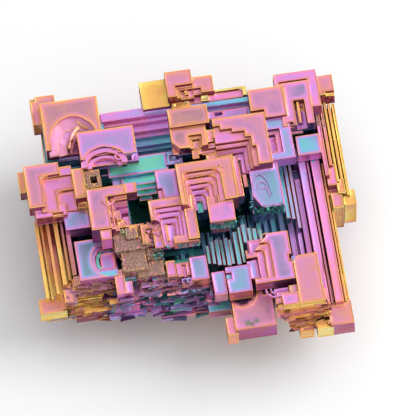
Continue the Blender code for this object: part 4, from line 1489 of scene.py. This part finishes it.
@dataclass
class CurvedLedges(SmallPiece):
    """Ledges that turn the stepped bowls into wavy arches, and thin folds inside them."""

    arcs: tuple[Arc, ...] = ()
    steps: int = 22

    def ledge(self, arc: Arc, seed: int) -> bpy.types.Object:
        """One ledge: a cross-section that is spun about the arch's middle and made wavy.

        Args:
            arc: its sizes.
            seed: of its waves.

        Returns:
            The ledge, at its place.
        """
        across, along = arc.inner
        start_shape()
        bpy.ops.mesh.primitive_plane_add(size=1.0, rotation=(math.pi / 2, 0.0, 0.0))
        bpy.ops.object.transform_apply(rotation=True)
        edit_all()
        bpy.ops.transform.resize(value=(arc.width, 1.0, arc.height),
                                 center_override=(0.0, 0.0, 0.0))
        bpy.ops.transform.translate(value=(across + arc.width / 2, 0.0, -arc.height / 2))
        bm = bmesh.from_edit_mesh(bpy.context.object.data)
        for vert in bm.verts:
            vert.select_set(vert.co.x < across + arc.width / 2)
        bm.select_flush_mode()
        bmesh.update_edit_mesh(bpy.context.object.data)
        bpy.ops.transform.translate(value=(0.0, 0.0, -arc.drop))
        bpy.ops.mesh.select_all(action="SELECT")
        bpy.ops.mesh.spin(steps=self.steps, angle=-math.radians(arc.sweep),
                          center=(0.0, 0.0, 0.0), axis=(0.0, 0.0, 1.0))
        bm = bmesh.from_edit_mesh(bpy.context.object.data)
        bm.normal_update()
        steep = 0.9 if not arc.drop else 0.5
        pick_faces(bm, {face.index for face in bm.faces if abs(face.normal.z) > steep
                        and face.calc_center_median().z > -(arc.height + arc.drop) / 2})
        bmesh.update_edit_mesh(bpy.context.object.data)
        bpy.ops.mesh.inset(thickness=min(0.16, arc.width * 0.3), depth=0.0)
        bpy.ops.mesh.select_all(action="SELECT")
        bpy.ops.transform.vertex_random(offset=arc.rough, seed=seed)
        item = close_shape()
        turn = Matrix.Rotation(math.radians(arc.start), 4, "Z")
        stretch = Matrix.Diagonal((1.0, along / across, 1.0, 1.0))
        x, y = arc.centre[0] + SHIFT[0], arc.centre[1] + SHIFT[1]
        item.data.transform(Matrix.Translation((x, y, arc.level)) @ stretch @ turn)
        return item

    def build(self, shell: GrowthShell) -> bpy.types.Object:
        """Makes every ledge and joins them.

        Args:
            shell: the cluster's surface.

        Returns:
            The joined piece, in millimetres.
        """
        copies, stay = [], Matrix.Identity(4)
        for index, arc in enumerate(self.arcs):
            pattern = self.ledge(arc, self.seed + index)
            copies.append(self.copy(pattern, stay, arc.film, arc.dull, 0.0))
            if index < len(self.arcs) - 1:
                bpy.data.objects.remove(pattern)
        return self.join(pattern, copies, shell)


@dataclass(frozen=True)
class Plate:
    """A thin layer on the top of a crystal, with a round hollow's mouth cut out of it."""

    plan: tuple[float, float, float, float]
    level: float                # its top
    film: float
    dull: float = 0.3
    thickness: float = 0.7
    centre: tuple[float, float] | None = None   # of the mouth
    mouth: tuple[float, float] = (1.0, 1.0)     # its half axes
    rough: float = 0.1
    fade: float = 0.2           # distance over which the edge colours fade


@dataclass
class TopPlates(SmallPiece):
    """Top layers whose edges follow the wavy mouths of the round hollows."""

    plates: tuple[Plate, ...] = ()
    cell: float = 0.26          # width of the strips that a layer is cut into, mm
    edge_cut: float = 0.1       # from its sides to the nearest cuts
    rim_width: float = 0.3
    sink_depth: float = 0.07

    def plate(self, plate: Plate, seed: int) -> bpy.types.Object:
        """One layer: a slab less its mouth, with rings of faces along the edge of its top.

        Args:
            plate: its sizes.
            seed: of the mouth's waves.

        Returns:
            The layer, at its place in the frame.
        """
        x0, y0, x1, y1 = plate.plan
        middle = ((x0 + x1) / 2 + SHIFT[0], (y0 + y1) / 2 + SHIFT[1],
                  plate.level - plate.thickness / 2)
        start_shape()
        bpy.ops.mesh.primitive_cube_add(size=1.0)
        item = bpy.context.object
        edit_all()
        bpy.ops.transform.resize(value=(x1 - x0, y1 - y0, plate.thickness),
                                 center_override=(0.0, 0.0, 0.0))
        bpy.ops.transform.translate(value=middle)
        bpy.ops.object.mode_set(mode="OBJECT")
        if plate.centre:
            start_shape()
            bpy.ops.mesh.primitive_cylinder_add(vertices=40, radius=1.0, depth=6.0)
            cutter = bpy.context.object
            edit_all()
            bpy.ops.transform.resize(value=(*plate.mouth, 1.0), center_override=(0.0, 0.0, 0.0))
            bpy.ops.transform.translate(value=(plate.centre[0] + SHIFT[0],
                                               plate.centre[1] + SHIFT[1], plate.level))
            bpy.ops.transform.vertex_random(offset=plate.rough, seed=seed)
            bpy.ops.object.mode_set(mode="OBJECT")
            cut = item.modifiers.new("mouth", "BOOLEAN")
            cut.operation, cut.object, cut.solver = "DIFFERENCE", cutter, "EXACT"
            apply_modifiers(item)
            bpy.data.objects.remove(cutter)
        select_only(item)
        edit_all()
        for axis, low, high in ((0, x0 + SHIFT[0], x1 + SHIFT[0]), (1, y0 + SHIFT[1], y1 + SHIFT[1])):
            self.slice(axis, low, high)
        bpy.ops.mesh.select_all(action="SELECT")
        bpy.ops.mesh.remove_doubles(threshold=0.01)
        bpy.ops.mesh.normals_make_consistent(inside=False)
        bpy.ops.object.mode_set(mode="OBJECT")
        self.sink_middle(item)
        return item

    def slice(self, axis: int, low: float, high: float) -> None:
        """Cuts the slab in edit mode into strips, finer next to its sides.

        Args:
            axis: across which axis the strips lie.
            low: where the slab starts.
            high: where it ends.
        """
        normal = [0.0, 0.0, 0.0]
        normal[axis] = 1.0
        count = int((high - low) / self.cell)
        places = [low + (high - low) * (index + 0.37) / count for index in range(count)]
        for place in (*places, low + self.edge_cut, high - self.edge_cut):
            point = [0.0, 0.0, 0.0]
            point[axis] = place
            bpy.ops.mesh.select_all(action="SELECT")
            bpy.ops.mesh.bisect(plane_co=point, plane_no=normal)

    def sink_middle(self, item: bpy.types.Object) -> None:
        """Lowers the middle of the top, which leaves a raised rim along its edge."""
        points = read_numbers(item.data.vertices, "co", 3)
        top = points[:, 2] > points[:, 2].max() - 0.01
        depth = 1.0 - np.exp(-(self.edge_distance(item.data, points) / self.rim_width) ** 2)
        group = item.vertex_groups.new(name="middle")
        for index in np.flatnonzero(top & (depth > 0.01)):
            group.add([int(index)], float(depth[index]), "REPLACE")
        lower = item.modifiers.new("sunk", "DISPLACE")
        lower.direction, lower.strength, lower.mid_level = "Z", -self.sink_depth, 0.0
        lower.vertex_group = group.name
        apply_modifiers(item)

    @staticmethod
    def edge_distance(mesh: bpy.types.Mesh, points: np.ndarray) -> np.ndarray:
        """Distance of each vertex from the sides of the layer, across its plan.

        Args:
            mesh: the layer's mesh.
            points: its vertices.

        Returns:
            One distance a vertex, in millimetres.
        """
        sides = {tuple(sorted(key)) for face in mesh.polygons if abs(face.normal.z) < 0.5
                 for key in face.edge_keys}
        lines = np.array([points[list(pair), :2].ravel() for pair in sides])
        start, along = lines[:, :2], lines[:, 2:] - lines[:, :2]
        squared = np.maximum((along**2).sum(1), 1e-9)
        offset = points[:, None, :2] - start[None, :, :]
        share = np.clip(np.einsum("ijk,jk->ij", offset, along) / squared, 0.0, 1.0)
        return np.sqrt(((offset - share[..., None] * along[None, :, :])**2).sum(2).min(1))

    def build(self, shell: GrowthShell) -> bpy.types.Object:
        """Makes every layer and joins them.

        Args:
            shell: the cluster's surface.

        Returns:
            The joined piece, in millimetres.
        """
        copies, stay = [], Matrix.Identity(4)
        for index, plate in enumerate(self.plates):
            pattern = self.plate(plate, self.seed + index)
            copy = self.copy(pattern, stay, plate.film, plate.dull, 0.0)
            self.tint_edges(copy.data, plate)
            copies.append(copy)
            if index < len(self.plates) - 1:
                bpy.data.objects.remove(pattern)
        return self.join(pattern, copies, shell)

    def tint_edges(self, mesh: bpy.types.Mesh, plate: Plate) -> None:
        """Lets the film of the top thin towards its edge.

        Args:
            mesh: the layer's mesh.
            plate: its sizes, and the film at the top's middle.
        """
        away = self.edge_distance(mesh, read_numbers(mesh.vertices, "co", 3))
        films = plate.film + (EDGE_FILM - plate.film) * np.exp(-away / plate.fade)
        corner_vert = read_numbers(mesh.loops, "vertex_index", 1).astype(int)
        upward = np.repeat([face.normal.z > 0.5 for face in mesh.polygons],
                           [face.loop_total for face in mesh.polygons])
        values = np.where(upward, films[corner_vert], max(plate.film, 0.5))
        mesh.attributes["film"].data.foreach_set("value", values.astype(np.float32))
        mesh.attributes["inset"].data.foreach_set("value", away.astype(np.float32))


CRUST = (
    Patch((-16.0, -9.4, 17.0), (-9.6, -4.4, 21.8), 300, (0.3, 0.7), (0.34, 0.54), 1.0, 0.25),
    Patch((-15.2, -13.4, 16.0), (-9.8, -7.2, 22.0), 460, (0.25, 0.65), (0.3, 0.46), 1.0, 0.28),
    Patch((-12.6, -14.6, 15.5), (-6.8, -10.0, 21.0), 420, (0.25, 0.65), (0.3, 0.46), 1.0, 0.28),
    Patch((-10.0, -11.4, 17.0), (-6.8, -8.2, 21.5), 150, (0.25, 0.7), (0.32, 0.54), 0.9, 0.4),
    Patch((-20.3, 4.6, 20.0), (-16.4, 8.3, 22.8), 220, (0.25, 0.5), (0.32, 0.46), 1.0, 0.3),
    Patch((-1.9, 9.0, 23.8), (2.0, 11.4, 24.6), 60, (0.12, 0.26), (0.36, 0.46), 0.9),
    Patch((26.3, 12.2, 14.0), (28.5, 15.2, 19.5), 90, (0.2, 0.5), (0.30, 0.55), 0.9),
    Patch((-15.0, -16.8, 14.0), (-4.0, -13.6, 18.6), 160, (0.2, 0.55), (0.32, 0.52), 1.0),
    Patch((-14.6, -7.4, 19.5), (-11.6, -4.6, 23.0), 16, (0.3, 0.6), (0.96, 1.0), 0.7),
)
TORN_LAYERS = (
    Patch((-26.2, -17.8, 14.6), (-15.4, -12.6, 18.0), 80, (0.5, 1.4), (0.36, 0.54), 0.9,
          0.3, (-16.0, 10.0), 9.0),
    Patch((-26.4, -17.8, 8.6), (-15.4, -13.0, 14.8), 60, (0.5, 1.4), (0.22, 0.42), 0.4,
          0.3, (-14.0, 8.0), 7.0),
    Patch((-19.0, -20.2, 9.0), (2.8, -14.6, 18.0), 150, (0.6, 1.7), (0.56, 0.96), 0.7,
          0.5, (-14.0, 12.0), 9.0),
    Patch((-12.0, -18.5, 14.0), (2.8, -13.0, 18.6), 60, (0.4, 1.1), (0.38, 0.56), 0.9,
          0.4, (-25.0, 25.0), 16.0),
    Patch((12.6, -28.0, 11.5), (23.0, -25.0, 18.8), 60, (0.5, 1.3), (0.26, 0.52), 0.4,
          0.4, (-12.0, 10.0), 9.0),
)
def stack(start: tuple[float, float, float], step: tuple[float, float], count: int, turn: float,
          size: float, film: float) -> tuple[Patch, ...]:
    """A row of small pieces that follow each other down a broken stair.

    Args:
        start: where the first one stands, in the cluster's own millimetres.
        step: from each one to the next, across and along.
        count: how many there are.
        turn: their turn, in degrees.
        size: scale of the first; the others shrink a little.
        film: of the first; the others' grows.

    Returns:
        A patch of one copy for each.
    """
    slack, fall, shrink, wobble = 0.12, 4.0, 0.06, 6.0
    found = []
    for index in range(count):
        x, y = start[0] + step[0] * index, start[1] + step[1] * index
        scale = size * (1.0 - shrink * index)
        tint = film + 0.03 * index
        found.append(Patch((x - slack, y - slack, start[2] - fall), (x + slack, y + slack, start[2]),
                           1, (scale, scale), (tint, tint + 0.03), 0.3, 0.05,
                           (turn - wobble, turn + wobble), 6.0, -0.06))
    return tuple(found)


BROKEN_STAIRS = (
    stack((-15.6, 0.9, 25.0), (0.45, -0.42), 4, -135.0, 1.15, 0.48)
    + stack((-16.0, -1.2, 25.0), (0.5, -0.5), 3, -140.0, 1.0, 0.5)
    + stack((-14.6, -2.6, 25.0), (-0.1, -0.6), 4, -45.0, 0.9, 0.46)
    + stack((-15.6, -3.2, 25.0), (-0.05, -0.5), 3, -50.0, 0.8, 0.5)
    + stack((-9.4, -5.9, 23.0), (0.3, -0.55), 4, 225.0, 1.1, 0.5)
    + stack((-7.9, -5.8, 23.0), (0.2, -0.6), 4, 228.0, 1.0, 0.46)
    + stack((-6.6, 7.4, 20.0), (0.3, -1.1), 5, -20.0, 0.9, 0.9)
)
# Spikes darkened at random as painted shade, below the fronts of the crystals over the pits.
SHADOW_SPIKES = (
    Patch((11.6, -5.6, 16.5), (18.6, -4.2, 21.6), 90, (0.7, 1.5), (0.86, 1.0), 0.3,
          0.5, (0.0, 360.0), 12.0, -0.02),
    Patch((2.4, -8.4, 17.5), (8.2, -7.2, 23.4), 60, (0.6, 1.4), (0.88, 1.0), 0.3,
          0.5, (0.0, 360.0), 10.0, -0.02),
    Patch((7.6, -5.0, 13.0), (13.0, -0.5, 20.0), 60, (0.7, 1.5), (0.86, 1.0), 0.2,
          0.5, (0.0, 360.0), 12.0, -0.02),
    Patch((-8.6, -11.4, 15.0), (0.8, -9.8, 22.0), 60, (0.6, 1.3), (0.86, 1.0), 0.4,
          0.5, (0.0, 360.0), 12.0, -0.02),
    Patch((-14.0, -4.0, 12.0), (-9.0, 2.0, 18.0), 50, (0.6, 1.2), (0.86, 1.0), 0.4,
          0.5, (0.0, 360.0), 14.0, -0.02),
)


def spiral_bends() -> tuple[Bend, ...]:
    """Fillets of the tall crystal's nested treads, from the rim down."""
    treads = ((-1.0, 6.3, 3.1, 25.0), (-0.6, 5.3, 2.2, 24.3), (-0.2, 4.5, 1.2, 23.6),
              (0.2, 3.6, 0.3, 22.9), (0.6, 2.8, -0.6, 22.2), (1.0, 2.1, -1.6, 21.3))
    found, level, east, west = [], 25.7, 1.6, 1.0
    for low, high, back, floor in treads:
        found.append(Bend((high, back), floor, level, east, (-1, -1)))
        found.append(Bend((low, back), floor, level, west, (1, -1)))
        level, east, west = floor, east * 0.82, west * 0.82
    return tuple(found)


def south_arch_bends() -> tuple[Bend, ...]:
    """Fillets of the front arch crystal's treads."""
    treads = ((-7.4, -1.7, -2.7, 23.4), (-6.9, -2.4, -3.5, 22.8), (-6.4, -3.1, -4.4, 22.2),
              (-5.8, -3.9, -5.5, 21.6))
    found, level = [], 24.0
    for low, high, back, floor in treads:
        found.append(Bend((high, back), floor, level, 0.6, (-1, -1)))
        found.append(Bend((low, back), floor, level, 0.45, (1, -1)))
        level = floor
    return tuple(found)


OTHER_BENDS = (
    Bend((-27.9, 8.5), 21.3, 22.1, 1.5, (1, -1), 0.5),
    Bend((-27.6, 8.4), 20.8, 21.3, 1.3, (1, -1), 0.55),
    Bend((-25.2, 5.4), 20.1, 20.8, 1.2, (1, -1), 0.55),
    Bend((13.6, -11.4), 19.4, 20.1, 0.9, (-1, -1), 0.55),
    Bend((12.3, -12.5), 18.7, 19.4, 0.7, (-1, -1), 0.6),
    Bend((13.6, 21.9), 19.8, 20.4, 0.9, (-1, -1), 0.2),
    Bend((6.8, 21.9), 19.8, 20.4, 0.5, (1, -1), 0.2),
)
ARCHES = (
    # bowl of the back left crystal: a wavy sheet that slopes in, and the folds on it
    Arc((-20.3, 13.2), 22.95, 0.5, (3.2, 4.2), 2.0, -12.0, 204.0, 0.47, 0.15, 0.6, 0.7),
    Arc((-20.3, 13.0), 22.2, 0.6, (1.6, 2.2), 1.8, -12.0, 204.0, 0.50, 0.15, 0.6, 0.5),
    Arc((-14.9, 12.6), 22.62, 0.6, (6.3, 6.2), 0.5, 128.0, 46.0, 0.38, 0.09, 0.3, 0.2),
    Arc((-15.6, 19.9), 22.86, 0.5, (3.4, 3.1), 0.5, 188.0, 56.0, 0.33, 0.09, 0.3, 0.2),
    Arc((-17.4, 11.8), 22.2, 0.6, (3.6, 4.4), 0.4, 118.0, 56.0, 0.46, 0.09, 0.3, 0.2),
    # bowl of the lilac crystal
    Arc((-15.3, 8.5), 23.7, 0.8, (3.3, 2.4), 1.2, -6.0, 192.0, 0.56, 0.07),
    Arc((-15.3, 8.3), 23.1, 0.8, (2.5, 1.6), 0.9, -6.0, 192.0, 0.60, 0.06),
    Arc((-12.4, 9.6), 23.8, 0.6, (0.5, 0.5), 0.3, 120.0, 230.0, 0.56, 0.03),
    # round hollow of the west arch
    Arc((-17.6, -9.6), 18.7, 0.5, (2.4, 2.7), 0.9, 60.0, 230.0, 0.62, 0.08),
    Arc((-17.4, -9.6), 18.3, 0.6, (1.9, 2.1), 0.5, 60.0, 230.0, 0.94, 0.08),
    # fine curved lines on the blue crystal
    Arc((13.7, -3.4), 22.2, 0.22, (1.9, 5.4), 0.12, 8.0, 168.0, 0.74, 0.02),
    Arc((14.0, -3.4), 22.2, 0.2, (1.2, 3.9), 0.1, 10.0, 130.0, 0.7, 0.02),
    Arc((14.3, -3.4), 22.2, 0.2, (0.8, 2.6), 0.1, 10.0, 110.0, 0.72, 0.02),
    # curved ledges of the front east crystals
    Arc((13.4, -20.8), 18.6, 0.5, (1.7, 1.5), 0.3, 170.0, 130.0, 0.62, 0.05),
    Arc((13.6, -20.6), 18.3, 0.5, (1.0, 0.9), 0.26, 170.0, 130.0, 0.66, 0.05),
    # hooked ridge on the front arch's top
    Arc((13.2, -10.4), 20.2, 0.3, (0.9, 0.8), 0.16, 60.0, 150.0, 0.30, 0.03),
)
PLATES = (
    Plate((-25.8, 13.2, -14.9, 23.3), 23.5, 0.45, 0.95, 0.7, (-20.3, 13.3), (4.9, 6.4), 0.13),
    Plate((-19.7, 9.75, -8.9, 15.5), 24.2, 0.66, 0.6, 0.7, (-15.3, 8.4), (4.3, 3.5), 0.1),
    Plate((-18.9, -11.6, -16.2, -8.0), 18.25, 0.68, 0.3, 0.5),
    Plate((-23.3, -13.3, -16.0, -5.0), 19.2, 0.80, 1.0, 0.6, (-17.4, -9.6), (3.2, 3.7), 0.1),
    Plate((-18.6, 8.8, -12.0, 11.3), 22.3, 0.64, 0.3, 0.5),
    Plate((-14.7, 7.05, -3.3, 10.75), 20.12, 0.99, 0.25, 0.5),
    Plate((22.1, 6.0, 26.5, 10.0), 20.2, 0.87, 0.25, 0.5),
)


def pit_fins() -> tuple[Plate, ...]:
    """Thin fins that stand in the pits and run front to back, with dark gaps between them."""
    foot = 10.2  # below the tops of the ledges that they stand on
    rows = (     # west edge, width, front, back, top, film
        (1.6, 0.5, -12.4, -8.6, 16.4, 0.97), (2.5, 0.55, -12.8, -8.0, 16.8, 0.93),
        (3.4, 0.7, -13.3, -7.9, 17.0, 0.90), (4.4, 0.5, -13.3, -7.9, 16.7, 0.97),
        (5.2, 0.75, -13.8, -7.9, 17.3, 0.88), (6.1, 0.5, -13.4, -8.2, 16.9, 0.94),
        (7.1, 0.75, -13.9, -6.9, 17.3, 0.90), (8.2, 0.5, -13.4, -5.9, 16.9, 0.96),
        (9.0, 0.7, -9.4, -5.6, 17.2, 0.92), (10.1, 0.5, -9.3, -6.2, 16.7, 0.98),
        (11.0, 0.7, -9.2, -6.4, 16.5, 0.94), (12.2, 0.5, -9.2, -6.8, 16.2, 0.97),
        (18.0, 0.7, -5.5, 6.4, 17.0, 0.91), (19.0, 0.55, -6.0, 8.4, 17.4, 0.86),
        (19.9, 0.5, -8.0, 8.8, 17.2, 0.80),
    )
    return tuple(Plate((west, front, west + width, back), top, film, 0.0, top - foot, fade=0.04)
                 for west, width, front, back, top, film in rows)


TERRACES = (
    Plate((-12.4, 5.2, -5.4, 7.4), 19.1, 0.96, 0.1, 1.0),
    Plate((-10.4, 4.3, -5.0, 5.8), 18.5, 0.93, 0.1, 1.2),
    Plate((-9.9, 3.4, -6.0, 4.9), 17.8, 0.98, 0.1, 1.4),
    Plate((-9.4, 2.7, -7.0, 3.9), 17.0, 0.99, 0.1, 1.6),
)


@dataclass
class Studio:
    """Pale floor, soft light and the camera."""

    azimuth: float = -7.0       # degrees, the camera's bearing round the cluster
    elevation: float = 64.0
    roll: float = 2.0
    aim: tuple[float, float, float] = (0.0001, 0.00125, 0.022)
    offset: tuple[float, float] = (0.00346, -0.0025)    # of the picture's middle from the aim
    width: float = 0.08         # of what the picture shows, m
    lens: float = 800.0
    sensor: float = 36.0

    def build(self) -> None:
        """Makes the floor, the lights and the camera."""
        self.make_floor()
        self.make_world()
        self.make_light("key", (0.62, 0.08, 0.55), 0.60, 5.2)
        self.make_light("overhead", (0.053, 0.435, 0.899), 0.90, 1.2)
        self.make_light("front", (-0.06, -0.50, 1.02), 1.30, 3.6)
        self.make_camera()

    def make_floor(self) -> None:
        """A wide flat plane."""
        bpy.ops.object.select_all(action="DESELECT")
        bpy.ops.mesh.primitive_plane_add(size=6.0, location=(0.0, 0.0, -0.0002))
        floor = bpy.context.object
        floor.name = "floor"
        material = bpy.data.materials.new("floor_paper")
        material.use_nodes = True
        shader = material.node_tree.nodes["Principled BSDF"]
        shader.inputs["Base Color"].default_value = (0.83, 0.84, 0.85, 1.0)
        shader.inputs["Roughness"].default_value = 0.9
        floor.data.materials.append(material)

    def make_world(self) -> None:
        """Even white light from all round."""
        world = bpy.data.worlds.new("studio")
        world.use_nodes = True
        back = world.node_tree.nodes["Background"]
        back.inputs["Color"].default_value = (1.0, 1.0, 1.0, 1.0)
        back.inputs["Strength"].default_value = 0.54
        bpy.context.scene.world = world
        bpy.context.scene.view_settings.view_transform = "Standard"

    def make_light(self, name: str, place: tuple[float, float, float], size: float,
                   power: float) -> None:
        """A square soft light that looks at the cluster."""
        lamp = bpy.data.lights.new(name, "AREA")
        lamp.size = size
        lamp.energy = power
        item = bpy.data.objects.new(name, lamp)
        item.location = place
        item.rotation_euler = (-Vector(place)).to_track_quat("-Z", "Y").to_euler()
        bpy.context.scene.collection.objects.link(item)

    def make_camera(self) -> None:
        """A long lens at the viewing angle, with the picture's small roll."""
        turn, lift = math.radians(self.azimuth), math.radians(self.elevation)
        back = Vector((math.sin(turn) * math.cos(lift), -math.cos(turn) * math.cos(lift),
                       math.sin(lift)))
        level = Vector((math.cos(turn), math.sin(turn), 0.0))
        upright = back.cross(level)
        tilt = math.radians(self.roll)
        right = level * math.cos(tilt) - upright * math.sin(tilt)
        up = level * math.sin(tilt) + upright * math.cos(tilt)
        target = Vector(self.aim) + right * self.offset[0] + up * self.offset[1]
        distance = self.lens / self.sensor * self.width
        data = bpy.data.cameras.new("camera")
        data.lens, data.sensor_width = self.lens, self.sensor
        data.clip_start, data.clip_end = 0.01, 20.0
        camera = bpy.data.objects.new("camera", data)
        axes = Matrix((right, up, back)).transposed().to_4x4()
        camera.matrix_world = Matrix.Translation(target + back * distance) @ axes
        bpy.context.scene.collection.objects.link(camera)
        bpy.context.scene.camera = camera


def main() -> None:
    """Builds the dressed cluster and the studio."""
    logging.basicConfig(level=logging.INFO, format="%(message)s")
    film = OxideFilm().build()
    finish = BismuthFinish().material(film)
    crust_finish = BismuthFinish("granular_oxide", 0.6, (0.40, 0.29, 0.21, 1.0), 0.6).material(film)
    shell = GrowthShell()
    cluster = shell.build()
    shell.paint(cluster)
    settle(cluster, finish)
    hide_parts(NODE)
    crust = Grains("granular_crust", 11, CRUST, stand=0.6, rim_film=0.06)
    settle(crust.build(shell), crust_finish)
    small = (
        Flakes("torn_flakes", 23, TORN_LAYERS, rim_film=0.12),
        Chevrons("broken_stairs", 37, BROKEN_STAIRS, rim_film=0.22),
        Spikes("shadow_spikes", 41, SHADOW_SPIKES),
        RoundedBends("rounded_bends", 53, rim_film=0.26,
                     bends=spiral_bends() + south_arch_bends() + OTHER_BENDS),
        CurvedLedges("curved_ledges", 67, arcs=ARCHES, rim_film=0.14),
        TopPlates("top_plates", 71, plates=PLATES + TERRACES + pit_fins(), rim_film=0.2),
    )
    for piece in small:
        settle(piece.build(shell), finish)
    Studio().build()


if __name__ == "__main__":
    main()
